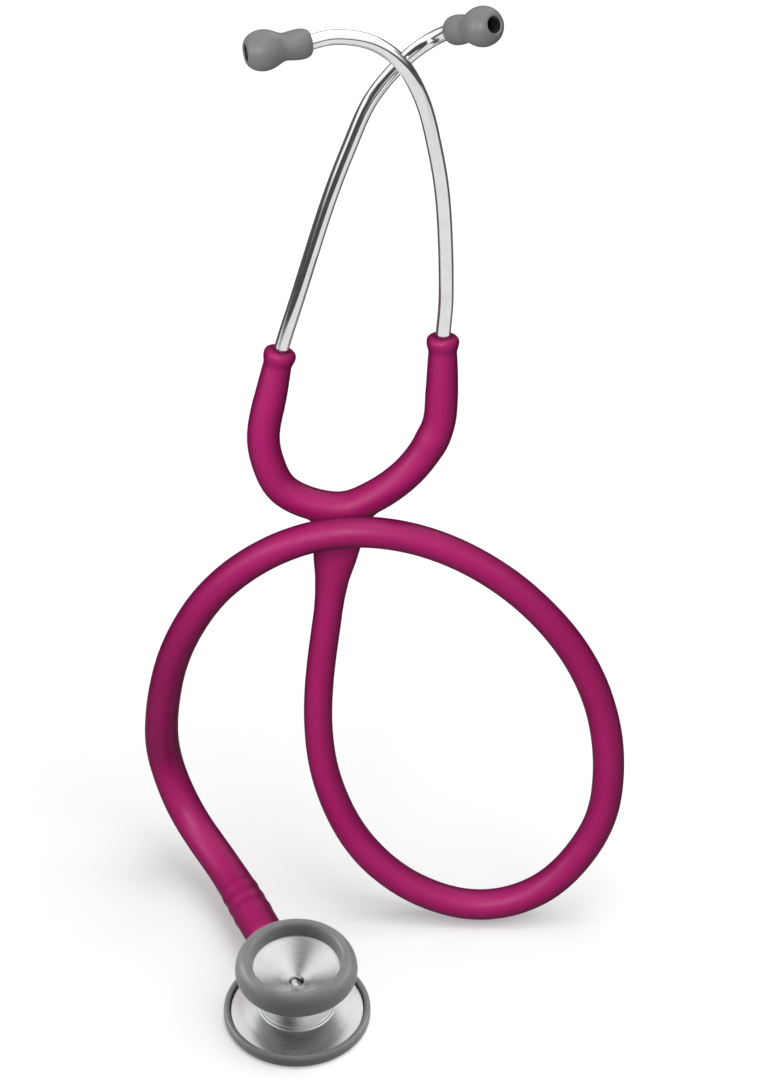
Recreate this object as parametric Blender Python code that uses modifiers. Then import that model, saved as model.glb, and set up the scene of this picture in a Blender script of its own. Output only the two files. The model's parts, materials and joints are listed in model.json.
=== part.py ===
"""Stethoscope with a double-sided chestpiece, one-piece Y tubing and crossed ear tubes.

World frame: the origin is the centre of the diaphragm's outer face, +Z is up, +X is to the
right and +Y is away from the front. The chestpiece lies on its diaphragm, the tubing makes
one loop behind it, and the headset stands above the loop and leans back by LEAN.

Every size below is in millimetres; MM turns it into metres where a mesh is made.
"""
import math

import bmesh
import bpy
import numpy as np
from mathutils import Matrix, Vector

MM = 0.001

# Headset plane: it leans back by LEAN and passes through the foot of the loop.
LEAN = math.radians(15.0)
FOOT = Vector((0.0, 40.5, 4.9))
RIGHT = Vector((1.0, 0.0, 0.0))
UP_PLANE = Vector((0.0, math.sin(LEAN), math.cos(LEAN)))
FORWARD = Vector((0.0, -math.cos(LEAN), math.sin(LEAN)))

# Headset centreline (across, up the plane, forward), from one eartip round to the other.
# Each ear tube crosses over to the far side, so the left tube carries the tip on the right.
LEFT_TIP_BASE = (44.8, 278.1, -6.5)
LEFT_TIP_AXIS = (0.636, 0.318, 0.702)
LEFT_TUBE = [(38.8, 274.2, -9.5), (31.9, 269.1, -8.5), (22.4, 258.2, -6.0), (16.0, 244.1, -4.0),
             (10.5, 229.8, -2.2), (1.2, 200.2, 0.0)]
LEFT_ARM = [(-3.5, 184.8, 0.0), (-6.3, 172.0, 0.0), (-9.0, 158.0, 0.0), (-8.0, 150.2, 0.0)]
YOKE_BOTTOM = [(-4.0, 141.2, 0.0), (4.0, 136.4, 0.0), (14.3, 134.8, 0.0), (23.0, 138.4, 0.0),
               (32.2, 145.4, 0.0)]
RIGHT_ARM = [(38.4, 154.0, 0.0), (41.8, 165.0, 0.0), (42.4, 175.0, 0.0), (43.0, 189.1, 0.0)]
RIGHT_TUBE = [(43.8, 200.2, 0.0), (42.7, 230.8, 0.8), (40.4, 246.0, 1.4), (36.7, 260.9, 2.2),
              (30.5, 272.8, 4.6), (22.2, 279.3, 7.0), (11.6, 281.4, 9.5)]
RIGHT_TIP_BASE = (5.8, 280.7, 12.0)
RIGHT_TIP_AXIS = (-0.953, -0.07, 0.296)
LEFT_PIVOT = (-8.0, 150.2, 0.0)
RIGHT_PIVOT = (38.4, 154.0, 0.0)

# Main tubing centreline in world coordinates, from the yoke round the loop to the stem.
TUBING_WAYPOINTS = [(14.0, 75.5, 135.0), (11.3, 70.8, 117.5), (9.2, 66.0, 100.0), (6.6, 60.5, 79.0),
                    (6.4, 55.8, 61.5), (9.3, 51.4, 45.5), (18.4, 46.2, 26.2), (34.0, 42.4, 11.6),
                    (55.0, 40.5, 4.95), (75.0, 41.6, 11.5), (91.0, 46.2, 33.4), (93.8, 50.6, 55.0),
                    (90.2, 55.0, 77.0), (79.5, 58.0, 99.5), (60.0, 61.0, 120.5), (37.0, 62.7, 133.3),
                    (13.3, 62.9, 136.3), (-7.0, 63.0, 128.8), (-24.0, 63.8, 112.6),
                    (-36.0, 65.6, 88.0), (-41.6, 68.8, 58.0), (-41.2, 71.4, 36.0),
                    (-34.4, 64.6, 19.8), (-24.2, 51.6, 12.6)]
NECK_FLARE_LENGTH = 34.0
TUBE_END = 22.5
# Outer radius of the tubing at a distance along its centreline.
TUBING_RADII = [(0.0, 8.6), (8.0, 7.6), (17.0, 6.3), (23.0, 5.1), (29.0, 4.5), (NECK_FLARE_LENGTH, 4.3),
                (85.0, 4.3), (120.0, 4.68), (240.0, 4.72), (300.0, 4.5), (380.0, 4.62),
                (440.0, 4.85), (500.0, 5.35), (530.0, 5.5), (600.0, 5.5)]
NECK_FLEX_AT = 58.0
SIDE_FLEX_AT = 218.0
END_FLEX_AT = 452.0
FLEX_GAP = 2.4
TUBING_WALL = 2.1
RUN_SQUARE_END = 1.5
JUNCTION_BORE = 2.2

# Yoke arms and the steel inside them.
ARM_RADIUS = 4.8
LIP_RADIUS = 4.6
LIP_NECK_RADIUS = 4.15
LIP_LENGTH = 4.0
ARM_BORE = 2.4
ARM_POCKET = 3.3
SPREAD_GAP = 4.6
EAR_TUBE_RADIUS = 2.15
EAR_TUBE_WALL = 0.45
EAR_TUBE_LOW = 12.0
EAR_TUBE_IN_TIP = 9.0
BEAD_RADIUS = 2.45
CLIP_RADIUS = 3.0
CLIP_WALL = 0.55
CLIP_LENGTH = 8.0
SPRING_WIDTH = 3.2
SPRING_THICKNESS = 0.5

# Eartips.
TIP_LENGTH = 18.8
TIP_BORE = 3.15
TIP_CHANNEL = 1.6
TIP_MOUTH = 2.35
CORE_RADIUS = 3.05
CORE_BORE = 2.65
CORE_LENGTH = 7.5

# Chestpiece, turned about +Z.
RIM_RADIUS = 22.0
RIM_TOP = 3.8
RIM_BOTTOM = 0.2
FLANGE_RADIUS = 21.0
DRUM_RADIUS = 10.8
COLLAR_RADIUS = 11.15
BELL_LIP_RADIUS = 15.2
BELL_MOUTH_RADIUS = 12.7
BELL_LIP_LOW = 19.1
BELL_LIP_HIGH = 20.3
BELL_SLOT_LOW = 18.8
BELL_SLOT_HIGH = 20.6
BELL_SLOT_RADIUS = 15.5
BELL_HOLE = 2.2
CHAMBER_HOLE = 1.5

# Stem: its axis is level, STEM_HEIGHT above the diaphragm face; distances run outwards.
STEM_HEIGHT = 11.2
STEM_DIRECTION = Vector((-0.41, 0.912, 0.0)).normalized()
STEM_RADIUS = 2.2
STEM_BORE = 2.5
STEM_LUMEN = 1.3
STEM_INNER_END = -6.2
STEM_OUTER_END = 46.0
COUNTERBORE = 3.9
GROOVE_RADIUS = 4.5
RING_AT = 8.75
RING_THICKNESS = 0.5
RING_INSIDE = 2.7
RING_OUTSIDE = 4.35
RING_GAP = 1.0
SEAL_AT = 5.0
SEAL_CENTRE_RADIUS = 2.1
SEAL_SECTION = 0.22
DETENT_AT = -4.0
DETENT_HOLE = 1.15
BALL_RADIUS = 0.95
BALL_CREST_GAP = 0.05
DIMPLE_DEPTH = 0.3
COIL_WIRE = 0.14
COIL_RADIUS = 0.7
COIL_LOW = 4.5
COIL_HIGH = 7.3
COIL_TURNS = 4
COIL_POINTS = 32
PLUG_LOW = 7.7
PLUG_HIGH = 9.7
PLUG_RADIUS = 1.0
PLUG_SOCKET_RADIUS = 0.5
PLUG_SOCKET_DEPTH = 0.8


# ---------------------------------------------------------------- scene, materials, objects

def clear_scene():
    """Remove whatever the open file holds."""
    for obj in list(bpy.data.objects):
        bpy.data.objects.remove(obj, do_unlink=True)
    for group in list(bpy.data.collections):
        bpy.data.collections.remove(group)


def new_collection(name):
    group = bpy.data.collections.new(name)
    bpy.context.scene.collection.children.link(group)
    return group


def make_material(name, colour, roughness, metallic=0.0):
    material = bpy.data.materials.new(name)
    material.use_nodes = True
    shader = material.node_tree.nodes["Principled BSDF"]
    shader.inputs["Base Color"].default_value = (*colour, 1.0)
    shader.inputs["Roughness"].default_value = roughness
    shader.inputs["Metallic"].default_value = metallic
    material.diffuse_color = (*colour, 1.0)
    return material


def add_object(name, data, material, group):
    """Put new mesh or curve data into the scene as a named object."""
    obj = bpy.data.objects.new(name, data)
    group.objects.link(obj)
    if material is not None:
        data.materials.append(material)
    return obj


def make_cutter(obj):
    """Mark an object as a boolean tool that isn't a piece of the stethoscope."""
    obj.hide_render = True
    obj.display_type = "WIRE"
    return obj


def add_empty(name, location):
    empty = bpy.data.objects.new(name, None)
    empty.location = Vector(location) * MM
    empty.empty_display_size = 0.01
    PARTS.objects.link(empty)
    return empty


def hang_on(empty, *pieces):
    """Parent pieces to an empty on their joint's axis and keep their places."""
    bpy.context.view_layer.update()
    for piece in pieces:
        piece.parent = empty
        piece.matrix_parent_inverse = empty.matrix_world.inverted()


def boolean(obj, operation, tool):
    modifier = obj.modifiers.new(operation.lower() + "_" + tool.name, "BOOLEAN")
    modifier.operation = operation
    modifier.object = tool
    modifier.solver = "EXACT"


# ---------------------------------------------------------------- paths

def headset_point(across, up, forward):
    """World position in mm of a point given in the leaning headset plane."""
    return FOOT + RIGHT * across + UP_PLANE * up + FORWARD * forward


def headset_direction(across, up, forward):
    return (RIGHT * across + UP_PLANE * up + FORWARD * forward).normalized()


def spline_point(p0, p1, p2, p3, share):
    """Point on the centripetal Catmull-Rom span from p1 to p2."""
    knots = [0.0]
    for a, b in ((p0, p1), (p1, p2), (p2, p3)):
        knots.append(knots[-1] + math.sqrt((b - a).length))
    t = knots[1] + share * (knots[2] - knots[1])

    def mix(a, b, ta, tb):
        return a * ((tb - t) / (tb - ta)) + b * ((t - ta) / (tb - ta))

    a1 = mix(p0, p1, knots[0], knots[1])
    a2 = mix(p1, p2, knots[1], knots[2])
    a3 = mix(p2, p3, knots[2], knots[3])
    b1 = mix(a1, a2, knots[0], knots[2])
    b2 = mix(a2, a3, knots[1], knots[3])
    return mix(b1, b2, knots[1], knots[2])


class Path:
    """A smooth centreline that can be read by its length in mm."""

    def __init__(self, waypoints, per_span=16):
        points = [Vector(p) for p in waypoints]
        first = points[0] * 2.0 - points[1]
        last = points[-1] * 2.0 - points[-2]
        ends = [first] + points + [last]
        dense = []
        for i in range(len(points) - 1):
            for k in range(per_span):
                dense.append(spline_point(*ends[i:i + 4], k / per_span))
        dense.append(points[-1])
        self.points = np.array(dense)
        steps = np.linalg.norm(np.diff(self.points, axis=0), axis=1)
        self.distance = np.concatenate(([0.0], np.cumsum(steps)))
        self.length = float(self.distance[-1])

    def at(self, distance):
        return Vector([float(np.interp(distance, self.distance, self.points[:, k])) for k in range(3)])

    def nearest(self, point, limit=math.inf):
        """Length along the path, up to a limit, of its closest point to a given one."""
        gaps = np.linalg.norm(self.points - np.array(point), axis=1)
        gaps[self.distance > limit] = math.inf
        return float(self.distance[np.argmin(gaps)])

    def span(self, start, end, step):
        """Lengths from start to end, evenly spaced by about one step."""
        count = max(1, round(abs(end - start) / step))
        return [start + (end - start) * i / count for i in range(count + 1)]


def headset_path():
    """Centreline from deep inside the left eartip to deep inside the right one."""
    left_base = headset_point(*LEFT_TIP_BASE)
    right_base = headset_point(*RIGHT_TIP_BASE)
    left_axis = headset_direction(*LEFT_TIP_AXIS)
    right_axis = headset_direction(*RIGHT_TIP_AXIS)
    in_left = [left_base + left_axis * a for a in (EAR_TUBE_IN_TIP, EAR_TUBE_IN_TIP / 2, 0.0)]
    in_right = [right_base + right_axis * a for a in (0.0, EAR_TUBE_IN_TIP / 2, EAR_TUBE_IN_TIP)]
    between = LEFT_TUBE + LEFT_ARM + YOKE_BOTTOM + RIGHT_ARM + RIGHT_TUBE
    return Path(in_left + [headset_point(*p) for p in between] + in_right)


def tubing_path():
    """Centreline from the yoke's bottom to the tubing's end on the stem."""
    on_stem = [Vector((0.0, 0.0, STEM_HEIGHT)) + STEM_DIRECTION * s for s in (47.0, 36.0, TUBE_END)]
    return Path([Vector(p) for p in TUBING_WAYPOINTS] + on_stem)


def tubing_radius(distance):
    return float(np.interp(distance, [d for d, _ in TUBING_RADII], [r for _, r in TUBING_RADII]))


# ---------------------------------------------------------------- shape makers

def tube_curve(name, path, stations, radii, material, group, resolution=4, caps=True):
    """A round bar along a path, as a curve with its own radius at every station."""
    curve = bpy.data.curves.new(name, "CURVE")
    curve.dimensions = "3D"
    curve.bevel_depth = MM
    curve.bevel_resolution = resolution
    curve.use_fill_caps = caps
    curve.render_resolution_u = 0
    spline = curve.splines.new("POLY")
    spline.points.add(len(stations) - 1)
    for point, station, radius in zip(spline.points, stations, radii):
        point.co = (*(path.at(station) * MM), 1.0)
        point.radius = radius
    spline.use_smooth = True
    return add_object(name, curve, material, group)


def hollow_tube(name, path, stations, radii, wall, material, resolution=4):
    """An open tube with a wall that grows inwards from its outside."""
    obj = tube_curve(name, path, stations, radii, material, PARTS, resolution, caps=False)
    shell = obj.modifiers.new("wall", "SOLIDIFY")
    shell.thickness = wall * MM
    shell.offset = -1.0
    return obj


def as_mesh(obj, name, material, group):
    """Turn a capped curve into a closed mesh object and remove the curve."""
    bpy.context.view_layer.update()
    evaluated = obj.evaluated_get(bpy.context.evaluated_depsgraph_get())
    mesh = bpy.data.meshes.new_from_object(evaluated)
    place = obj.matrix_world.copy()
    bpy.data.objects.remove(obj, do_unlink=True)
    mesh.name = name
    mesh.materials.clear()
    shape = bmesh.new()
    shape.from_mesh(mesh)
    bmesh.ops.remove_doubles(shape, verts=shape.verts, dist=0.00001)
    shape.to_mesh(mesh)
    shape.free()
    mesh.shade_smooth()
    mesh.set_sharp_from_angle(angle=math.radians(40.0))
    solid = add_object(name, mesh, material, group)
    solid.matrix_world = place
    return solid


def solid_bar(name, path, stations, radii, material, group, resolution=4):
    bar = tube_curve(name + "_curve", path, stations, radii, None, group, resolution)
    return as_mesh(bar, name, material, group)


def outline_runs_down(profile):
    """True when a profile's outer side runs from top to bottom, as a screw needs."""
    twice_area = 0.0
    for (r0, z0), (r1, z1) in zip(profile, profile[1:] + profile[:1]):
        twice_area += r0 * z1 - r1 * z0
    return twice_area < 0.0


def turned(name, profile, material, group, segments=40, closed=True):
    """A solid of revolution about local Z from a profile of (radius, height) in mm."""
    outline = list(profile) if outline_runs_down(list(profile)) else list(reversed(profile))
    mesh = bpy.data.meshes.new(name)
    verts = [(r * MM, 0.0, z * MM) for r, z in outline]
    edges = [(i, i + 1) for i in range(len(verts) - 1)]
    if closed:
        edges.append((len(verts) - 1, 0))
    mesh.from_pydata(verts, edges, [])
    obj = add_object(name, mesh, material, group)
    screw = obj.modifiers.new("turn", "SCREW")
    screw.steps = segments
    screw.render_steps = segments
    screw.use_merge_vertices = True
    screw.merge_threshold = 0.00001
    screw.use_smooth_shade = True
    return obj


def point_along(obj, origin, direction, side=Vector((0.0, 0.0, 1.0))):
    """Place an object with its local Z along a direction and its local Y near a side."""
    z_axis = direction.normalized()
    x_axis = side.cross(z_axis).normalized()
    y_axis = z_axis.cross(x_axis)
    turn = Matrix((x_axis, y_axis, z_axis)).transposed().to_4x4()
    obj.matrix_world = Matrix.Translation(origin * MM) @ turn
    return obj


def arc(centre, radius, start, end, count):
    """Points of an arc in a profile, with angles in degrees."""
    angles = [math.radians(start + (end - start) * i / count) for i in range(count + 1)]
    return [(centre[0] + radius * math.cos(a), centre[1] + radius * math.sin(a)) for a in angles]


def round_bar(name, radius, low, high, group, segments=12):
    """A plain closed cylinder along local Z, used as a drill."""
    profile = [(0.0, high), (radius, high), (radius, low), (0.0, low)]
    return turned(name, profile, None, group, segments, closed=False)


# ---------------------------------------------------------------- tubing

def flatten_flare(neck, tubing):
    """Thin the neck's flare in depth, so that it widens only in the plane of the yoke."""
    for vertex in neck.data.vertices:
        place = Vector(vertex.co) / MM
        radius = tubing_radius(tubing.nearest(place, NECK_FLARE_LENGTH))
        depth = (place - FOOT).dot(FORWARD)
        if radius > ARM_RADIUS:
            vertex.co += FORWARD * depth * (ARM_RADIUS / radius - 1.0) * MM


def make_yoke(headset, tubing, left_pivot, right_pivot):
    """The moulded Y: the yoke's bottom, its flared neck and the sound passage inside."""
    low = left_pivot + SPREAD_GAP / 2
    high = right_pivot - SPREAD_GAP / 2
    end = NECK_FLEX_AT - FLEX_GAP / 2
    stations = headset.span(low, high, 5.0)
    yoke = solid_bar("tubing_yoke", headset, stations, [ARM_RADIUS] * len(stations), TUBING, PARTS)
    neck_stations = tubing.span(0.0, end, 5.0)
    neck_radii = [tubing_radius(s) for s in neck_stations]
    neck = solid_bar("cut_neck", tubing, neck_stations, neck_radii, None, CUTTERS)
    flatten_flare(neck, tubing)
    passage_stations = headset.span(low - 3.0, high + 3.0, 5.0)
    passage = solid_bar("cut_passage", headset, passage_stations,
                        [JUNCTION_BORE + 0.2] * len(passage_stations), None, CUTTERS, 2)
    bore_stations = tubing.span(0.0, end + 3.0, 5.0)
    bore = solid_bar("cut_neck_bore", tubing, bore_stations,
                     [JUNCTION_BORE] * len(bore_stations), None, CUTTERS, 2)
    boolean(yoke, "UNION", make_cutter(neck))
    boolean(yoke, "DIFFERENCE", make_cutter(passage))
    boolean(yoke, "DIFFERENCE", make_cutter(bore))
    return yoke


def arm_radius(distance_from_lip):
    """Outer radius of an arm: a flared lip, a slight neck and then the full arm."""
    stops = [0.0, LIP_LENGTH * 0.45, LIP_LENGTH, LIP_LENGTH * 3.5]
    return float(np.interp(distance_from_lip, stops, [LIP_RADIUS, LIP_RADIUS, LIP_NECK_RADIUS, ARM_RADIUS]))


def make_arm(side, headset, lip, pivot):
    """One arm of the yoke, from its lip down to the bend where it spreads."""
    towards_lip = 1.0 if lip > pivot else -1.0
    foot = pivot + towards_lip * SPREAD_GAP / 2
    stations = headset.span(lip, foot, 3.2)
    radii = [arm_radius(abs(s - lip)) for s in stations]
    arm = solid_bar("tubing_" + side + "_arm", headset, stations, radii, TUBING, PARTS)
    bore_stations = headset.span(lip + towards_lip * 3.0, foot - towards_lip * 3.0, 5.0)
    bore = solid_bar("cut_" + side + "_arm_bore", headset, bore_stations,
                     [ARM_BORE] * len(bore_stations), None, CUTTERS, 3)
    pocket_stations = headset.span(pivot + towards_lip * (EAR_TUBE_LOW + 6.0), foot - towards_lip * 3.0, 4.0)
    pocket = solid_bar("cut_" + side + "_arm_pocket", headset, pocket_stations,
                       [ARM_POCKET] * len(pocket_stations), None, CUTTERS, 3)
    boolean(arm, "DIFFERENCE", make_cutter(bore))
    boolean(arm, "DIFFERENCE", make_cutter(pocket))
    return arm


def make_run(name, tubing, start, end):
    """One flexible length of the tubing between two bending places."""
    inner = tubing.span(start + RUN_SQUARE_END, end - RUN_SQUARE_END, 9.0)
    stations = [start] + inner + [end]
    return hollow_tube(name, tubing, stations, [tubing_radius(s) for s in stations], TUBING_WALL, TUBING)


# ---------------------------------------------------------------- headset steel and eartips

def make_ear_tube(side, headset, tip_end, pivot):
    """A bent steel tube with a rolled bead inside the eartip."""
    towards_tip = 1.0 if tip_end > pivot else -1.0
    foot = pivot + towards_tip * EAR_TUBE_LOW
    bead = tip_end - towards_tip * 2.5
    plain = headset.span(foot, tip_end - towards_tip * EAR_TUBE_IN_TIP, 7.5)
    bead_shape = [(-1.2, EAR_TUBE_RADIUS), (-0.4, BEAD_RADIUS), (0.4, BEAD_RADIUS), (1.2, EAR_TUBE_RADIUS)]
    stations = plain + [bead + towards_tip * offset for offset, _ in bead_shape] + [tip_end]
    radii = [EAR_TUBE_RADIUS] * len(plain) + [r for _, r in bead_shape] + [EAR_TUBE_RADIUS]
    return hollow_tube(side + "_eartube", headset, stations, radii, EAR_TUBE_WALL, CHROME, 3)


def make_spring_clip(side, headset, pivot, towards_tip):
    """A crimped sleeve that ties the foot of an ear tube to the end of the leaf spring."""
    middle = pivot + towards_tip * EAR_TUBE_LOW
    stations = [middle - towards_tip * CLIP_LENGTH / 2, middle, middle + towards_tip * CLIP_LENGTH / 2]
    return hollow_tube(side + "_spring_clip", headset, stations, [CLIP_RADIUS] * 3, CLIP_WALL, STEEL, 3)


def make_leaf_spring(headset, left_pivot, right_pivot):
    """A flat steel strip that runs through the yoke from one ear tube to the other."""
    reach = EAR_TUBE_LOW - 0.4
    stations = headset.span(left_pivot - reach, right_pivot + reach, 4.0)
    half = FORWARD * (SPRING_WIDTH / 2)
    verts = []
    for station in stations:
        centre = headset.at(station)
        verts.append((centre + half) * MM)
        verts.append((centre - half) * MM)
    faces = [(2 * i, 2 * i + 1, 2 * i + 3, 2 * i + 2) for i in range(len(stations) - 1)]
    mesh = bpy.data.meshes.new("yoke_leaf_spring")
    mesh.from_pydata(verts, [], faces)
    spring = add_object("yoke_leaf_spring", mesh, STEEL, PARTS)
    strip = spring.modifiers.new("strip", "SOLIDIFY")
    strip.thickness = SPRING_THICKNESS * MM
    strip.offset = 0.0
    return spring


def eartip_profile():
    """Outside of a soft tip: round base, slight waist, mushroom end, then its passage."""
    base = [(3.5, 0.0), (4.0, 0.5), (4.2, 1.3), (4.15, 5.6), (3.85, 7.6)]
    ball = arc((0.0, 13.15), 5.75, -48.0, 62.0, 7)
    mouth = [(TIP_MOUTH, TIP_LENGTH), (TIP_MOUTH - 0.2, TIP_LENGTH - 0.6)]
    inside = [(TIP_CHANNEL, 10.2), (TIP_BORE, 9.4), (TIP_BORE, 0.0)]
    return base + ball + mouth + inside


def make_eartip(side, base, axis):
    """The soft tip and the stiff core that grips the bead of the ear tube."""
    low, high = 1.0, 1.0 + CORE_LENGTH
    core_profile = [(CORE_BORE, low), (CORE_RADIUS, low), (CORE_RADIUS, high), (CORE_BORE, high)]
    tip = turned(side + "_eartip", eartip_profile(), EARTIP, PARTS, 20)
    core = turned(side + "_eartip_core", core_profile, CORE, PARTS, 16)
    point_along(tip, headset_point(*base), headset_direction(*axis))
    point_along(core, headset_point(*base), headset_direction(*axis))
    return tip, core


# ---------------------------------------------------------------- chestpiece

def body_profile():
    """Half section of the chestpiece: flange, drum, bell cup and diaphragm chamber."""
    dish = [(0.0, 14.3), (3.0, 14.8), (5.5, 16.1), (12.1, 19.9), (BELL_MOUTH_RADIUS, BELL_LIP_HIGH)]
    lip = [(BELL_LIP_RADIUS, BELL_LIP_HIGH), (BELL_LIP_RADIUS, BELL_LIP_LOW), (12.8, BELL_LIP_LOW)]
    cup = [(12.7, 18.3), (12.1, 17.0), (11.3, 15.6)]
    drum = [(DRUM_RADIUS, 14.0), (DRUM_RADIUS, 5.9), (COLLAR_RADIUS, 5.7), (COLLAR_RADIUS, 4.8)]
    flange = [(11.7, 4.4), (16.0, 3.4), (20.0, 2.65), (20.7, 2.6), (FLANGE_RADIUS, 2.3), (FLANGE_RADIUS, 1.6)]
    chamber = [(17.5, 1.6), (17.2, 2.0), (8.0, 2.9), (0.0, 3.3)]
    return dish + lip + cup + drum + flange + chamber


def stem_bore_profile():
    """The blind hole for the stem, its counterbore and the groove of the retaining ring."""
    return [(0.0, 13.0), (COUNTERBORE, 13.0), (COUNTERBORE, 9.1), (GROOVE_RADIUS, 9.1), (GROOVE_RADIUS, 8.4),
            (COUNTERBORE, 8.4), (COUNTERBORE, 7.0), (STEM_BORE, 7.0), (STEM_BORE, STEM_INNER_END - 0.4),
            (0.0, STEM_INNER_END - 0.4)]


def make_body():
    """The one machined metal body, with its stem bore, sound holes and detent hole."""
    body = turned("chestpiece_body", body_profile(), METAL, PARTS, 36, closed=False)
    bore = turned("cut_stem_bore", stem_bore_profile(), None, CUTTERS, 20, closed=False)
    point_along(bore, STEM_CENTRE, STEM_DIRECTION)
    detent = round_bar("cut_detent_hole", DETENT_HOLE, 1.0, 12.0, CUTTERS)
    point_along(detent, STEM_CENTRE + STEM_DIRECTION * DETENT_AT, DETENT_SIDE)
    bell_hole = round_bar("cut_bell_hole", BELL_HOLE, STEM_HEIGHT + 1.0, 16.0, CUTTERS)
    chamber_hole = round_bar("cut_chamber_hole", CHAMBER_HOLE, 2.5, STEM_HEIGHT - 1.0, CUTTERS)
    for tool in (bore, detent, bell_hole, chamber_hole):
        boolean(body, "DIFFERENCE", make_cutter(tool))
    return body


def make_bell_rim():
    """The tall soft ring that clips over the bell's lip."""
    inner_wall = [(13.0, BELL_SLOT_HIGH), (13.15, 21.6), (13.5, 23.2), (14.2, 24.3), (15.2, 24.6)]
    outer_wall = [(16.2, 24.2), (17.3, 23.0), (18.1, 21.3), (18.25, 19.8), (17.9, 18.1), (17.2, 17.3)]
    underside = [(16.4, 17.0), (15.5, 17.1), (14.4, 17.7), (13.5, BELL_SLOT_LOW)]
    slot = [(BELL_SLOT_RADIUS, BELL_SLOT_LOW), (BELL_SLOT_RADIUS, BELL_SLOT_HIGH)]
    return turned("bell_rim", inner_wall + outer_wall + underside + slot, RIM, PARTS, 32)


def make_diaphragm():
    """The thin stiff membrane: a flat face with a raised edge that the rim holds."""
    upper_side = [(0.0, 0.4), (18.3, 0.4), (18.7, 1.3), (21.0, 1.3)]
    lower_side = [(21.0, 0.9), (19.0, 0.9), (18.6, 0.0), (0.0, 0.0)]
    return turned("diaphragm", upper_side + lower_side, DIAPHRAGM, PARTS, 36, closed=False)


def make_diaphragm_rim():
    """The soft channel ring that clips the diaphragm to the flange."""
    profile = [(20.2, RIM_TOP), (21.5, RIM_TOP), (RIM_RADIUS, RIM_TOP - 0.5), (RIM_RADIUS, RIM_BOTTOM + 0.5),
               (21.5, RIM_BOTTOM), (19.5, RIM_BOTTOM), (19.5, 0.6), (21.3, 0.6), (21.3, 2.95), (20.2, 2.95)]
    return turned("diaphragm_rim", profile, RIM, PARTS, 36)


def stem_profile():
    """Half section of the stem along its axis: barbs, collar, grooves and sound passage."""
    passage = [(0.0, -1.2), (STEM_LUMEN, -1.2), (STEM_LUMEN, STEM_OUTER_END)]
    barbs = [(1.9, STEM_OUTER_END)]
    for i in range(3):
        crest = STEM_OUTER_END - 2.5 - 5.0 * i
        barbs += [(2.6, crest), (2.6, crest - 0.6), (2.0, crest - 0.6)]
    spigot = [(2.0, 25.0), (2.9, 24.6), (2.9, 12.2), (2.4, 11.4), (2.4, 8.2)]
    collar = [(3.6, 8.2), (3.6, 7.3), (STEM_RADIUS, 7.3)]
    seal_groove = [(STEM_RADIUS, 5.5), (1.75, 5.5), (1.75, 4.5), (STEM_RADIUS, 4.5)]
    nose = [(STEM_RADIUS, STEM_INNER_END), (0.0, STEM_INNER_END)]
    return passage + barbs + spigot + collar + seal_groove + nose


def make_stem():
    """The turned stem that the chestpiece swivels on; its side port feeds one chamber."""
    stem = turned("stem", stem_profile(), METAL, PARTS, 18, closed=False)
    point_along(stem, STEM_CENTRE, STEM_DIRECTION)
    port = round_bar("cut_side_port", 1.0, 0.5, 4.0, CUTTERS)
    point_along(port, STEM_CENTRE, Vector((0.0, 0.0, -1.0)), side=STEM_DIRECTION)
    boolean(stem, "DIFFERENCE", make_cutter(port))
    dimple_centre = STEM_RADIUS - DIMPLE_DEPTH + BALL_RADIUS + 0.05
    for sign, name in ((1.0, "cut_dimple_near"), (-1.0, "cut_dimple_far")):
        half_circle = arc((0.0, 0.0), BALL_RADIUS + 0.05, 90.0, -90.0, 6)
        dimple = turned(name, half_circle, None, CUTTERS, 10, closed=False)
        dimple.location = (STEM_CENTRE + STEM_DIRECTION * DETENT_AT + DETENT_SIDE * sign * dimple_centre) * MM
        boolean(stem, "DIFFERENCE", make_cutter(dimple))
    return stem


def make_stem_seal():
    """The small O-ring in the stem's groove."""
    section = arc((SEAL_CENTRE_RADIUS, 0.0), SEAL_SECTION, 0.0, -300.0, 5)
    seal = turned("stem_o_ring", section, SEAL, PARTS, 18)
    return point_along(seal, STEM_CENTRE + STEM_DIRECTION * SEAL_AT, STEM_DIRECTION)


def make_retaining_ring():
    """The spring ring that keeps the stem's collar in the counterbore."""
    low, high = RING_AT - RING_THICKNESS / 2, RING_AT + RING_THICKNESS / 2
    profile = [(RING_INSIDE, low), (RING_INSIDE, high), (RING_OUTSIDE, high), (RING_OUTSIDE, low)]
    ring = turned("stem_retaining_ring", profile, STEEL, PARTS, 24)
    point_along(ring, STEM_CENTRE, STEM_DIRECTION)
    gap = round_bar("cut_ring_gap", RING_GAP / 2, -RING_THICKNESS, RING_THICKNESS, CUTTERS, 4)
    middle = Vector((0.0, 0.0, (RING_INSIDE + RING_OUTSIDE) / 2))
    point_along(gap, STEM_CENTRE + STEM_DIRECTION * RING_AT + middle, STEM_DIRECTION)
    gap.scale = (1.0, 4.0, 1.0)
    boolean(ring, "DIFFERENCE", make_cutter(gap))
    return ring


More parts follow.
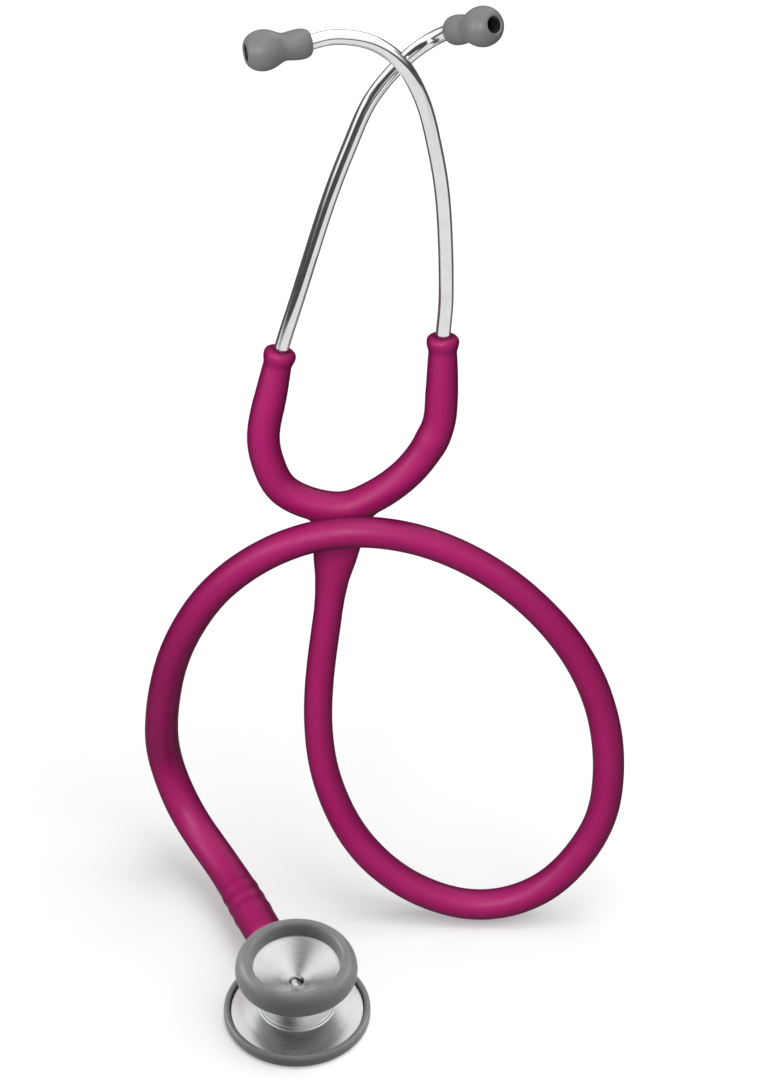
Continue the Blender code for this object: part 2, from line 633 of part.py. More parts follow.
def make_detent():
    """The spring-loaded ball that clicks into the stem's dimples, with its spring and plug."""
    start = STEM_CENTRE + STEM_DIRECTION * DETENT_AT
    ball_centre = start + DETENT_SIDE * (STEM_RADIUS + BALL_RADIUS + BALL_CREST_GAP)
    ball = turned("detent_ball", arc((0.0, 0.0), BALL_RADIUS, 90.0, -90.0, 6), STEEL, PARTS, 12, closed=False)
    ball.location = ball_centre * MM
    side = point_along(bpy.data.objects.new("detent_frame", None), start, DETENT_SIDE).matrix_world
    coil_path = CoilPath(side, COIL_RADIUS, COIL_LOW, COIL_HIGH, COIL_TURNS)
    stations = [i / COIL_POINTS for i in range(COIL_POINTS + 1)]
    spring = solid_bar("detent_spring", coil_path, stations, [COIL_WIRE] * len(stations), STEEL, PARTS, 1)
    socket_floor = PLUG_HIGH - PLUG_SOCKET_DEPTH
    plug_profile = [(0.0, PLUG_LOW), (PLUG_RADIUS, PLUG_LOW), (PLUG_RADIUS, PLUG_HIGH),
                    (PLUG_SOCKET_RADIUS, PLUG_HIGH), (PLUG_SOCKET_RADIUS, socket_floor), (0.0, socket_floor)]
    plug = turned("detent_plug", plug_profile, STEEL, PARTS, 16, closed=False)
    point_along(plug, start, DETENT_SIDE)
    return ball, spring, plug


class CoilPath:
    """A helix about the local Z of a placed frame, read from 0 to 1."""

    def __init__(self, frame, radius, low, high, turns):
        self.frame = frame
        self.radius = radius
        self.low = low
        self.high = high
        self.turns = turns

    def at(self, share):
        angle = share * self.turns * 2.0 * math.pi
        height = self.low + (self.high - self.low) * share
        local = Vector((self.radius * math.cos(angle), self.radius * math.sin(angle), height)) * MM
        return (self.frame @ local) / MM


# ---------------------------------------------------------------- assembly

clear_scene()
PARTS = new_collection("stethoscope")
CUTTERS = new_collection("cutters")

TUBING = make_material("raspberry_tubing", (0.33, 0.016, 0.105), 0.35)
CHROME = make_material("polished_steel", (0.82, 0.83, 0.84), 0.12, 1.0)
STEEL = make_material("spring_steel", (0.55, 0.56, 0.58), 0.35, 1.0)
METAL = make_material("turned_metal", (0.78, 0.79, 0.80), 0.25, 1.0)
RIM = make_material("grey_rim", (0.16, 0.165, 0.17), 0.5)
EARTIP = make_material("grey_eartip", (0.25, 0.25, 0.26), 0.5)
CORE = make_material("core_plastic", (0.08, 0.08, 0.085), 0.5)
DIAPHRAGM = make_material("diaphragm_film", (0.75, 0.76, 0.76), 0.35)
SEAL = make_material("black_seal", (0.03, 0.03, 0.03), 0.6)

STEM_CENTRE = Vector((0.0, 0.0, STEM_HEIGHT))
DETENT_SIDE = Vector((STEM_DIRECTION.y, -STEM_DIRECTION.x, 0.0))

head = headset_path()
tube = tubing_path()
left_pivot = head.nearest(headset_point(*LEFT_PIVOT))
right_pivot = head.nearest(headset_point(*RIGHT_PIVOT))
left_lip = head.nearest(headset_point(*LEFT_ARM[0]))
right_lip = head.nearest(headset_point(*RIGHT_ARM[-1]))

make_yoke(head, tube, left_pivot, right_pivot)
make_leaf_spring(head, left_pivot, right_pivot)

left_pieces = [make_arm("left", head, left_lip, left_pivot), make_ear_tube("left", head, 0.0, left_pivot),
               make_spring_clip("left", head, left_pivot, -1.0)]
left_pieces += make_eartip("left", LEFT_TIP_BASE, LEFT_TIP_AXIS)
hang_on(add_empty("left_spread_axis", head.at(left_pivot)), *left_pieces)

right_pieces = [make_arm("right", head, right_lip, right_pivot),
                make_ear_tube("right", head, head.length, right_pivot),
                make_spring_clip("right", head, right_pivot, 1.0)]
right_pieces += make_eartip("right", RIGHT_TIP_BASE, RIGHT_TIP_AXIS)
hang_on(add_empty("right_spread_axis", head.at(right_pivot)), *right_pieces)

flex = [NECK_FLEX_AT, SIDE_FLEX_AT, END_FLEX_AT]
run_names = ["tubing_lower_run", "tubing_upper_run", "tubing_end_run"]
run_ends = [SIDE_FLEX_AT - FLEX_GAP / 2, END_FLEX_AT - FLEX_GAP / 2, tube.length]
for run_name, bend, run_end in zip(run_names, flex, run_ends):
    run = make_run(run_name, tube, bend + FLEX_GAP / 2, run_end)
    hang_on(add_empty(run_name + "_bend", tube.at(bend)), run)

chest_axis = add_empty("chestpiece_turn_axis", STEM_CENTRE)
make_stem()
make_stem_seal()
ball, spring, plug = make_detent()
hang_on(chest_axis, make_body(), make_bell_rim(), make_diaphragm(), make_diaphragm_rim(),
        make_retaining_ring(), ball, spring, plug)
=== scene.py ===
"""Finished look of the stethoscope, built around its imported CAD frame.

The soft tubing, the ear tubes, the eartips and the turned parts are modelled again at full
smoothness in the place of their CAD solids. Sizes are in millimetres and MM turns them into
metres where a mesh is made. The world frame is the CAD's: origin at the centre of the
diaphragm face, +Z up, +X to the right, +Y away from the front.
"""
import json
import math

import bmesh
import bpy
import numpy as np
from mathutils import Matrix, Vector, noise


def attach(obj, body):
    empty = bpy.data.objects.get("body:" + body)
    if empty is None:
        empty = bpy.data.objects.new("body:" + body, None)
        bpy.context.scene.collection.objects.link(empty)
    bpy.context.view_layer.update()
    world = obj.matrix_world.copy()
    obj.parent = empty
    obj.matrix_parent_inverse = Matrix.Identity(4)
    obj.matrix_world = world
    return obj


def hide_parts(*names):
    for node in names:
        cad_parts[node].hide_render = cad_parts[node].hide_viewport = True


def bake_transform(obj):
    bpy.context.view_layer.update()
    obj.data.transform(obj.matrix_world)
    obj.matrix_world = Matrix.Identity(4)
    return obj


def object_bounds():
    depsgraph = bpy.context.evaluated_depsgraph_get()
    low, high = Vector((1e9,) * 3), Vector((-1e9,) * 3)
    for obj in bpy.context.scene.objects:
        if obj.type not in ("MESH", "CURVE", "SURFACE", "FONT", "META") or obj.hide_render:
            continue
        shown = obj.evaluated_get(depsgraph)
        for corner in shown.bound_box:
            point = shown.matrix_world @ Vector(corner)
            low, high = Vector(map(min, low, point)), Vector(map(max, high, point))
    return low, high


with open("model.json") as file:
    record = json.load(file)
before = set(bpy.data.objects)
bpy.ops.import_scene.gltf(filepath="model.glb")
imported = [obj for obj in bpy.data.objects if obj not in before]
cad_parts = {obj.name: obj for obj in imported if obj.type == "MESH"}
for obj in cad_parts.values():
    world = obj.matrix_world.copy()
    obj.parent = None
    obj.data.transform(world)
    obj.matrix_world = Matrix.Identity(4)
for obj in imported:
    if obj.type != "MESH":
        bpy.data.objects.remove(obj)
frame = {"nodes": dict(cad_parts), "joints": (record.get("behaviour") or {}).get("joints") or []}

CAD_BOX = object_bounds()
NODES = frame["nodes"]
MM = 0.001

# ---------------------------------------------------------------- centrelines (as in the CAD)

LEAN = math.radians(15.0)
FOOT = np.array((0.0, 40.5, 4.9))
RIGHT = np.array((1.0, 0.0, 0.0))
UP_PLANE = np.array((0.0, math.sin(LEAN), math.cos(LEAN)))
FORWARD = np.array((0.0, -math.cos(LEAN), math.sin(LEAN)))

LEFT_TIP_BASE = (44.8, 278.1, -6.5)
LEFT_TIP_AXIS = (0.636, 0.318, 0.702)
LEFT_TUBE = [(38.8, 274.2, -9.5), (31.9, 269.1, -8.5), (22.4, 258.2, -6.0), (16.0, 244.1, -4.0),
             (10.5, 229.8, -2.2), (1.2, 200.2, 0.0)]
LEFT_ARM = [(-3.5, 184.8, 0.0), (-6.3, 172.0, 0.0), (-9.0, 158.0, 0.0), (-8.0, 150.2, 0.0)]
YOKE_BOTTOM = [(-4.0, 141.2, 0.0), (4.0, 136.4, 0.0), (14.3, 134.8, 0.0), (23.0, 138.4, 0.0),
               (32.2, 145.4, 0.0)]
RIGHT_ARM = [(38.6, 153.8, 0.0), (42.0, 161.8, 0.0), (42.7, 170.5, 0.0), (42.9, 179.0, 0.0),
             (43.0, 189.1, 0.0)]
RIGHT_TUBE = [(43.8, 200.2, 0.0), (42.7, 230.8, 0.8), (40.4, 246.0, 1.4), (36.7, 260.9, 2.2),
              (30.5, 272.8, 4.6), (22.2, 279.3, 7.0), (11.6, 281.4, 9.5)]
RIGHT_TIP_BASE = (5.8, 280.7, 12.0)
RIGHT_TIP_AXIS = (-0.953, -0.07, 0.296)
EAR_TUBE_IN_TIP = 9.0

TUBING_WAYPOINTS = [(14.0, 75.5, 135.0), (11.3, 70.8, 117.5), (9.2, 66.0, 100.0), (6.6, 60.5, 79.0),
                    (6.4, 55.8, 61.5), (9.3, 51.4, 45.5), (18.4, 46.2, 26.2), (34.0, 42.4, 11.6),
                    (55.0, 40.5, 4.95), (75.0, 41.6, 11.5), (91.0, 46.2, 33.4), (93.8, 50.6, 55.0),
                    (90.2, 55.0, 77.0), (79.5, 58.0, 99.5), (60.0, 61.0, 120.5), (37.0, 62.7, 133.3),
                    (13.3, 62.9, 136.3), (-7.0, 63.0, 128.8), (-24.0, 63.8, 112.6),
                    (-36.0, 65.6, 88.0), (-41.6, 68.8, 58.0), (-41.2, 71.4, 36.0),
                    (-34.4, 64.6, 19.8), (-24.2, 51.6, 12.6)]
STEM_HEIGHT = 11.2
STEM_DIRECTION = np.array((-0.41, 0.912, 0.0)) / math.hypot(0.41, 0.912)
STEM_CENTRE = np.array((0.0, 0.0, STEM_HEIGHT))
TUBE_END = 22.5
TUBING_RADII = [(0.0, 8.6), (8.0, 7.6), (17.0, 6.3), (23.0, 5.1), (29.0, 4.5), (34.0, 4.3),
                (85.0, 4.3), (120.0, 4.68), (240.0, 4.72), (300.0, 4.5), (380.0, 4.62),
                (440.0, 4.85), (500.0, 5.35), (530.0, 5.5), (600.0, 5.5)]

ARM_RADIUS = 4.8
EAR_TUBE_RADIUS = 2.15


def joint_place(name):
    """A joint's place in mm."""
    for joint in frame["joints"]:
        if joint["name"] == name:
            return np.array(joint["pos_m"]) / MM
    raise ValueError("no joint named " + name)


def headset_point(across, up, forward):
    return FOOT + RIGHT * across + UP_PLANE * up + FORWARD * forward


def headset_direction(across, up, forward):
    direction = RIGHT * across + UP_PLANE * up + FORWARD * forward
    return direction / np.linalg.norm(direction)


def spline_point(p0, p1, p2, p3, share):
    """Point on the centripetal Catmull-Rom span from p1 to p2."""
    knots = [0.0]
    for a, b in ((p0, p1), (p1, p2), (p2, p3)):
        knots.append(knots[-1] + math.sqrt(np.linalg.norm(b - a)))
    t = knots[1] + share * (knots[2] - knots[1])

    def mix(a, b, ta, tb):
        return a * ((tb - t) / (tb - ta)) + b * ((t - ta) / (tb - ta))

    a1 = mix(p0, p1, knots[0], knots[1])
    a2 = mix(p1, p2, knots[1], knots[2])
    a3 = mix(p2, p3, knots[2], knots[3])
    b1 = mix(a1, a2, knots[0], knots[2])
    b2 = mix(a2, a3, knots[1], knots[3])
    return mix(b1, b2, knots[1], knots[2])


def unit_rows(rows):
    return rows / np.linalg.norm(rows, axis=1)[:, None]


class Path:
    """A smooth centreline with a twist-free frame, read by its length in mm."""

    STEP = 0.25

    def __init__(self, waypoints, ease=3.0):
        points = [np.array(p, float) for p in waypoints]
        ends = [points[0] * 2 - points[1]] + points + [points[-1] * 2 - points[-2]]
        dense = [spline_point(*ends[i:i + 4], k / 24) for i in range(len(points) - 1) for k in range(24)]
        dense.append(points[-1])
        self.points = self.even(np.array(dense))
        self.ease(ease)
        self.points = self.even(self.points)
        self.distance = np.arange(len(self.points)) * self.gap
        self.length = float(self.distance[-1])
        self.tangent = unit_rows(np.gradient(self.points, axis=0))
        self.normal = self.carried_normals()

    def even(self, points):
        """The same line with evenly spaced points."""
        length = np.concatenate(([0.0], np.cumsum(np.linalg.norm(np.diff(points, axis=0), axis=1))))
        count = int(length[-1] / self.STEP) + 1
        stations = np.linspace(0.0, length[-1], count)
        self.gap = stations[1]
        return np.stack([np.interp(stations, length, points[:, k]) for k in range(3)], axis=1)

    def ease(self, sigma):
        """Even out the bends with a moving average that keeps both ends where they are."""
        reach = int(3 * sigma / self.gap)
        kernel = np.exp(-0.5 * (np.arange(-reach, reach + 1) * self.gap / sigma) ** 2)
        kernel /= kernel.sum()
        before = 2 * self.points[0] - self.points[reach:0:-1]
        after = 2 * self.points[-1] - self.points[-2:-reach - 2:-1]
        padded = np.concatenate((before, self.points, after))
        self.points = np.stack([np.convolve(padded[:, k], kernel, "valid") for k in range(3)], axis=1)

    def carried_normals(self):
        normals = np.zeros_like(self.points)
        normal = np.cross(self.tangent[0], (0.3, 0.2, 0.9))
        for i, tangent in enumerate(self.tangent):
            normal = normal - tangent * normal.dot(tangent)
            normal = normal / np.linalg.norm(normal)
            normals[i] = normal
        return normals

    def read(self, rows, stations):
        return np.stack([np.interp(stations, self.distance, rows[:, k]) for k in range(3)], axis=1)

    def nearest(self, point):
        gaps = np.linalg.norm(self.points - np.array(point), axis=1)
        return float(self.distance[np.argmin(gaps)])


def headset_path():
    left_base = headset_point(*LEFT_TIP_BASE)
    right_base = headset_point(*RIGHT_TIP_BASE)
    left_axis = headset_direction(*LEFT_TIP_AXIS)
    right_axis = headset_direction(*RIGHT_TIP_AXIS)
    in_left = [left_base + left_axis * a for a in (EAR_TUBE_IN_TIP, EAR_TUBE_IN_TIP / 2, 0.0)]
    in_right = [right_base + right_axis * a for a in (0.0, EAR_TUBE_IN_TIP / 2, EAR_TUBE_IN_TIP)]
    between = LEFT_TUBE + LEFT_ARM + YOKE_BOTTOM + RIGHT_ARM + RIGHT_TUBE
    return Path(in_left + [headset_point(*p) for p in between] + in_right, ease=1.6)


def tubing_path():
    on_stem = [STEM_CENTRE + STEM_DIRECTION * s for s in (47.0, 36.0, TUBE_END)]
    return Path([np.array(p) for p in TUBING_WAYPOINTS] + on_stem, ease=5.0)


HEADSET = headset_path()
TUBING = tubing_path()


# ---------------------------------------------------------------- mesh making

def add_mesh(name, verts, faces, sharp_angle=None):
    """A smooth-shaded mesh object from places in mm."""
    mesh = bpy.data.meshes.new(name)
    mesh.from_pydata([tuple(v * MM) for v in np.asarray(verts)], [], faces)
    mesh.validate()
    mesh.update()
    mesh.shade_smooth()
    if sharp_angle is not None:
        mesh.set_sharp_from_angle(angle=math.radians(sharp_angle))
    obj = bpy.data.objects.new(name, mesh)
    bpy.context.scene.collection.objects.link(obj)
    return obj


def grid_faces(rings, sides):
    faces = []
    for i in range(rings - 1):
        for j in range(sides):
            k = (j + 1) % sides
            faces.append((i * sides + j, i * sides + k, (i + 1) * sides + k, (i + 1) * sides + j))
    return faces


def sweep(name, path, profile, sides=64, wobble=0.0, seed=0.0):
    """A closed round body along a path from a list of (length along it, radius)."""
    stations = np.array([s for s, _ in profile])
    radii = np.array([r for _, r in profile])
    centre = path.read(path.points, stations)
    tangent = unit_rows(path.read(path.tangent, stations))
    normal = path.read(path.normal, stations)
    normal = unit_rows(normal - tangent * np.sum(normal * tangent, axis=1)[:, None])
    side = np.cross(tangent, normal)
    angles = np.arange(sides) * 2 * math.pi / sides
    around = normal[:, None, :] * np.cos(angles)[None, :, None]
    around = around + side[:, None, :] * np.sin(angles)[None, :, None]
    verts = (centre[:, None, :] + around * radii[:, None, None]).reshape(-1, 3)
    outward = around.reshape(-1, 3)
    if wobble:
        verts = verts + outward * (wobble * soft_noise(verts, 0.07, seed))[:, None]
    faces = grid_faces(len(profile), sides)
    faces.append(tuple(reversed(range(sides))))
    faces.append(tuple(range(len(verts) - sides, len(verts))))
    obj = add_mesh(name, verts, faces, sharp_angle=50)
    return obj, np.repeat(stations, sides)


def soft_noise(points, scale, seed):
    """Smooth noise from -1 to 1 at each point."""
    return np.array([noise.noise(Vector(p * scale) + Vector((seed, seed * 0.7, 3.1))) for p in points])


def round_corners(profile, radii, steps=6):
    """Replace corners of an open outline by arcs; radii maps a corner's index to its radius."""
    result = []
    for i, corner in enumerate(profile):
        radius = radii.get(i, 0.0)
        if radius == 0.0 or i in (0, len(profile) - 1):
            result.append(tuple(corner))
            continue
        here = np.array(corner, float)
        back = np.array(profile[i - 1], float) - here
        ahead = np.array(profile[i + 1], float) - here
        back_unit = back / np.linalg.norm(back)
        ahead_unit = ahead / np.linalg.norm(ahead)
        half = math.acos(max(-1.0, min(1.0, back_unit.dot(ahead_unit)))) / 2
        reach = min(radius / math.tan(half), np.linalg.norm(back) * 0.48, np.linalg.norm(ahead) * 0.48)
        start = here + back_unit * reach
        end = here + ahead_unit * reach
        for k in range(steps + 1):
            t = k / steps
            result.append(tuple((1 - t) ** 2 * start + 2 * t * (1 - t) * here + t ** 2 * end))
    return result


def turned(name, profile, segments=160, sharp_angle=38):
    """A solid of revolution about +Z from an outline of (radius, height) in mm.

    An outline that starts and ends on the axis closes there; any other one closes on itself.
    """
    on_axis = profile[0][0] == 0.0 and profile[-1][0] == 0.0
    rows = profile[1:-1] if on_axis else profile
    angles = np.arange(segments) * 2 * math.pi / segments
    verts = [(r * math.cos(a), r * math.sin(a), z) for r, z in rows for a in angles]
    faces = grid_faces(len(rows), segments)
    if on_axis:
        first, last = len(verts), len(verts) + 1
        verts += [(0.0, 0.0, profile[0][1]), (0.0, 0.0, profile[-1][1])]
        base = (len(rows) - 1) * segments
        for j in range(segments):
            k = (j + 1) % segments
            faces.append((first, k, j))
            faces.append((last, base + j, base + k))
    else:
        base = (len(rows) - 1) * segments
        for j in range(segments):
            k = (j + 1) % segments
            faces.append((base + j, base + k, k, j))
    obj = add_mesh(name, np.array(verts), faces, sharp_angle)
    face_outwards(obj)
    return obj


def face_outwards(obj):
    shape = bmesh.new()
    shape.from_mesh(obj.data)
    bmesh.ops.recalc_face_normals(shape, faces=shape.faces)
    shape.to_mesh(obj.data)
    shape.free()
    obj.data.update()


def place_along(obj, origin, direction):
    """Put an object's local +Z along a direction, with its local +Y as near to upright as it goes."""
    z_axis = Vector(direction).normalized()
    x_axis = Vector((0.0, 0.0, 1.0)).cross(z_axis).normalized()
    y_axis = z_axis.cross(x_axis)
    turn = Matrix((x_axis, y_axis, z_axis)).transposed().to_4x4()
    obj.matrix_world = Matrix.Translation(Vector(origin) * MM) @ turn
    return obj


def cut(obj, tools):
    """Take tool shapes out of an object and keep the result as its mesh."""
    for tool in tools:
        modifier = obj.modifiers.new("cut", "BOOLEAN")
        modifier.operation = "DIFFERENCE"
        modifier.solver = "EXACT"
        modifier.object = tool
    bpy.context.view_layer.update()
    evaluated = obj.evaluated_get(bpy.context.evaluated_depsgraph_get())
    mesh = bpy.data.meshes.new_from_object(evaluated)
    obj.modifiers.clear()
    obj.data = mesh
    for tool in tools:
        bpy.data.objects.remove(tool, do_unlink=True)
    mesh.shade_smooth()
    mesh.set_sharp_from_angle(angle=math.radians(32))


def smooth_step(values, low, high):
    t = np.clip((values - low) / (high - low), 0.0, 1.0)
    return t * t * (3 - 2 * t)


def bend_with(obj, stations, path, joint, body_a, body_b, half):
    """Bake a swept piece's placement into its mesh; it finds the span about the joint but does not bend the
    piece.

    body_b is not used.
    """
    middle = path.nearest(joint_place(joint))
    start = path.read(path.points, [middle - half])[0] * MM
    end = path.read(path.points, [middle + half])[0] * MM
    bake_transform(obj)


# ---------------------------------------------------------------- node materials

class Graph:
    """A small helper for building a node material."""

    def __init__(self, name):
        self.material = bpy.data.materials.new(name)
        self.material.use_nodes = True
        self.tree = self.material.node_tree
        self.tree.nodes.clear()
        self.output = self.tree.nodes.new("ShaderNodeOutputMaterial")
        self.shader = self.tree.nodes.new("ShaderNodeBsdfPrincipled")
        self.link(self.shader.outputs[0], self.output.inputs["Surface"])
        self.place = self.tree.nodes.new("ShaderNodeTexCoord").outputs["Object"]

    def link(self, source, target):
        self.tree.links.new(source, target)

    def set(self, node, **values):
        for key, value in values.items():
            socket = node.inputs[key.replace("_", " ")]
            if isinstance(value, bpy.types.NodeSocket):
                self.link(value, socket)
            else:
                socket.default_value = value
        return node

    def principled(self, **values):
        return self.set(self.shader, **values)

    def noise(self, scale, detail=3.0, roughness=0.5, place=None):
        node = self.tree.nodes.new("ShaderNodeTexNoise")
        self.set(node, Vector=place or self.place, Scale=scale, Detail=detail, Roughness=roughness)
        return node.outputs["Fac"]

    def ramp(self, source, stops):
        node = self.tree.nodes.new("ShaderNodeValToRGB")
        while len(node.color_ramp.elements) < len(stops):
            node.color_ramp.elements.new(0.5)
        for element, (position, colour) in zip(node.color_ramp.elements, stops):
            element.position = position
            element.color = (*colour, 1.0) if isinstance(colour, tuple) else (colour, colour, colour, 1.0)
        self.link(source, node.inputs["Fac"])
        return node.outputs["Color"]

    def spread(self, source, low, high, start=0.0, end=1.0):
        """Map a value from start..end to low..high."""
        node = self.tree.nodes.new("ShaderNodeMapRange")
        node.inputs["From Min"].default_value = start
        node.inputs["From Max"].default_value = end
        node.inputs["To Min"].default_value = low
        node.inputs["To Max"].default_value = high
        self.link(source, node.inputs["Value"])
        return node.outputs["Result"]

    def math(self, operation, a, b=0.0):
        node = self.tree.nodes.new("ShaderNodeMath")
        node.operation = operation
        for socket, value in zip(node.inputs, (a, b)):
            if isinstance(value, bpy.types.NodeSocket):
                self.link(value, socket)
            else:
                socket.default_value = value
        return node.outputs[0]

    def bump(self, height, strength, distance, under=None):
        node = self.tree.nodes.new("ShaderNodeBump")
        node.inputs["Strength"].default_value = strength
        node.inputs["Distance"].default_value = distance
        self.link(height, node.inputs["Height"])
        if under is not None:
            self.link(under, node.inputs["Normal"])
        return node.outputs["Normal"]

    def facing(self):
        """0 where the surface faces the viewer, growing to 1 at its outline."""
        node = self.tree.nodes.new("ShaderNodeLayerWeight")
        node.inputs["Blend"].default_value = 0.5
        return node.outputs["Facing"]

    def dimmed(self, colour, factor):
        """A colour multiplied by a value."""
        node = self.tree.nodes.new("ShaderNodeMix")
        node.data_type = "RGBA"
        node.blend_type = "MULTIPLY"
        node.inputs[0].default_value = 1.0
        self.link(colour, node.inputs[6])
        self.link(factor, node.inputs[7])
        return node.outputs[2]

    def radius_from_axis(self):
        """Distance from the object's local Z axis, in metres."""
        split = self.tree.nodes.new("ShaderNodeSeparateXYZ")
        self.link(self.place, split.inputs[0])
        squares = [self.math("MULTIPLY", split.outputs[k], split.outputs[k]) for k in (0, 1)]
        return self.math("SQRT", self.math("ADD", *squares)), split.outputs[2]


def tubing_material():
    g = Graph("raspberry_pvc")
    cloud = g.noise(38.0, 2.0)
    grain = g.noise(900.0, 3.0, 0.6)
    smear = g.noise(160.0, 2.0)
    colour = g.ramp(cloud, [(0.3, (0.305, 0.0046, 0.100)), (0.7, (0.350, 0.0068, 0.117))])
    # Painted shade: the base colour darkens towards the tube's outline, standing in for the darker edges that
    # the light leaves on a round tube.
    colour = g.dimmed(colour, g.spread(g.facing(), 1.0, 0.46, 0.03, 0.62))
    rough = g.spread(smear, 0.42, 0.52, 0.3, 0.7)
    under = g.bump(smear, 0.12, 0.0004)
    g.principled(Base_Color=colour, Roughness=rough, Normal=g.bump(grain, 0.10, 0.00004, under))
    g.principled(Specular_IOR_Level=g.spread(g.facing(), 0.26, 0.03, 0.05, 0.60))
    return g.material


def polished_steel_material():
    g = Graph("polished_steel")
    streak = g.noise(240.0, 4.0)
    fine = g.noise(2600.0, 2.0)
    colour = g.ramp(streak, [(0.3, (0.80, 0.81, 0.82)), (0.7, (0.90, 0.90, 0.91))])
    rough = g.spread(streak, 0.07, 0.14, 0.3, 0.7)
    g.principled(Base_Color=colour, Metallic=1.0, Roughness=rough, Normal=g.bump(fine, 0.05, 0.00001))
    return g.material


def turned_metal_material(name, colour_low, colour_high, roughness, pitch=0.00022, streaks=0.8):
    """Metal with the circular marks of a lathe about local Z."""
    g = Graph(name)
    radius, height = g.radius_from_axis()
    along = g.math("ADD", radius, height)
    wave = g.math("SINE", g.math("MULTIPLY", along, 2 * math.pi / pitch))
    rings = g.tree.nodes.new("ShaderNodeTexNoise")
    rings.noise_dimensions = "1D"
    g.set(rings, W=g.math("MULTIPLY", along, 9000.0), Scale=1.0, Detail=3.0, Roughness=0.6)
    grooves = g.math("ADD", g.math("MULTIPLY", wave, 0.2), rings.outputs["Fac"])
    stain = g.noise(90.0, 3.0)
    colour = g.ramp(stain, [(0.3, colour_low), (0.7, colour_high)])
    rough = g.math("ADD", g.spread(rings.outputs["Fac"], roughness - 0.05, roughness + 0.06, 0.3, 0.7),
                   g.spread(stain, -0.02, 0.02, 0.3, 0.7))
    tangent = g.tree.nodes.new("ShaderNodeTangent")
    tangent.direction_type = "RADIAL"
    tangent.axis = "Z"
    g.principled(Base_Color=colour, Metallic=1.0, Roughness=rough, Anisotropic=streaks,
                 Normal=g.bump(grooves, 0.03, 0.000004), Tangent=tangent.outputs[0])
    return g.material


def soft_rubber_material(name, low, high, roughness):
    g = Graph(name)
    cloud = g.noise(70.0, 3.0)
    grain = g.noise(1500.0, 3.0, 0.6)
    dust = g.noise(420.0, 4.0, 0.7)
    colour = g.ramp(cloud, [(0.3, low), (0.7, high)])
    rough = g.spread(dust, roughness - 0.06, roughness + 0.06, 0.3, 0.7)
    under = g.bump(dust, 0.10, 0.0001)
    g.principled(Base_Color=colour, Roughness=rough, Normal=g.bump(grain, 0.12, 0.00003, under))
    g.principled(Specular_IOR_Level=0.38, Sheen_Weight=0.08, Sheen_Roughness=0.5)
    return g.material


def spring_steel_material():
    g = Graph("spring_steel")
    scale = g.noise(500.0, 4.0)
    colour = g.ramp(scale, [(0.3, (0.42, 0.43, 0.45)), (0.7, (0.60, 0.61, 0.63))])
    rough = g.spread(scale, 0.28, 0.42, 0.3, 0.7)
    g.principled(Base_Color=colour, Metallic=1.0, Roughness=rough, Normal=g.bump(scale, 0.08, 0.00002))
    return g.material


def diaphragm_material():
    g = Graph("diaphragm_sheet")
    radius, _ = g.radius_from_axis()
    weave = g.noise(2200.0, 2.0)
    cloud = g.noise(60.0, 3.0)
    colour = g.ramp(cloud, [(0.3, (0.62, 0.63, 0.63)), (0.7, (0.72, 0.73, 0.73))])
    rough = g.spread(weave, 0.30, 0.42, 0.3, 0.7)
    rings = g.math("SINE", g.math("MULTIPLY", radius, 2 * math.pi / 0.0016))
    under = g.bump(rings, 0.05, 0.00004)
    g.principled(Base_Color=colour, Roughness=rough, Normal=g.bump(weave, 0.10, 0.00002, under))
    return g.material


PVC = tubing_material()
CHROME = polished_steel_material()
METAL = turned_metal_material("turned_metal", (0.74, 0.75, 0.76), (0.80, 0.81, 0.82), 0.30)
STEM_METAL = turned_metal_material("turned_stem", (0.70, 0.71, 0.72), (0.80, 0.81, 0.82), 0.24, 0.0003, 0.5)
RIM = soft_rubber_material("grey_rim", (0.135, 0.137, 0.142), (0.158, 0.160, 0.166), 0.46)
EARTIP = soft_rubber_material("grey_eartip", (0.140, 0.135, 0.142), (0.162, 0.156, 0.164), 0.44)
# Near-black material for the tips' internal cores, also used as painted shade for the dark inside of the
# eartips' mouths.
CORE_AND_MOUTH_SHADE = soft_rubber_material("core_plastic", (0.004, 0.004, 0.004), (0.007, 0.007, 0.007), 0.6)
SEAL = soft_rubber_material("black_seal", (0.012, 0.012, 0.012), (0.020, 0.020, 0.020), 0.5)
STEEL = spring_steel_material()
FILM = diaphragm_material()
METALS = {material.name for material in (CHROME, METAL, STEM_METAL)}


def finish_piece(obj, material, nodes=(), body=None):
    obj.data.materials.clear()
    obj.data.materials.append(material)
    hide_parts(*nodes)
    if body is not None:
        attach(obj, body)
    return obj


# ---------------------------------------------------------------- tubing

TUBE_WOBBLE = 0.07
YOKE_SEAM = 12.5
NECK_SEAM = 37.0
LOWER_SEAM = 138.0
UPPER_SEAM = 335.0
SPREAD_BEND = 10.0
FLEX_BEND = 17.0
LIP_RADIUS = 4.75
LIP_NECK_RADIUS = 4.15
LIP_CORNER = 1.7
ARM_BORE = 2.2
ARM_BORE_DEPTH = 6.0
ARM_SHAPED_LENGTH = 8.0
OPEN_END_BORE = 3.0
OPEN_END_BORE_DEPTH = 8.0
OPEN_END_CORNER = 0.9
SEAM_OVERLAP = 3.0
WOBBLE_SEED = 5.0
BARB_CRESTS = (43.5, 38.6, 33.7)
BARB_BULGE = 0.21
END_SWELL = 0.4
END_SWELL_LENGTH = 34.0


def tube_radius(stations):
    """Outer radius of the tubing, with the soft bulges over the stem's barbs."""
    stations = np.asarray(stations, float)
    radius = np.interp(stations, [d for d, _ in TUBING_RADII], [r for _, r in TUBING_RADII])
    radius = radius + END_SWELL * smooth_step(stations, TUBING.length - END_SWELL_LENGTH, TUBING.length - 8.0)
    for crest in BARB_CRESTS:
        place = TUBING.length - (crest - TUBE_END)
        radius = radius + BARB_BULGE * np.exp(-((stations - place) / 1.3) ** 2)
    return radius


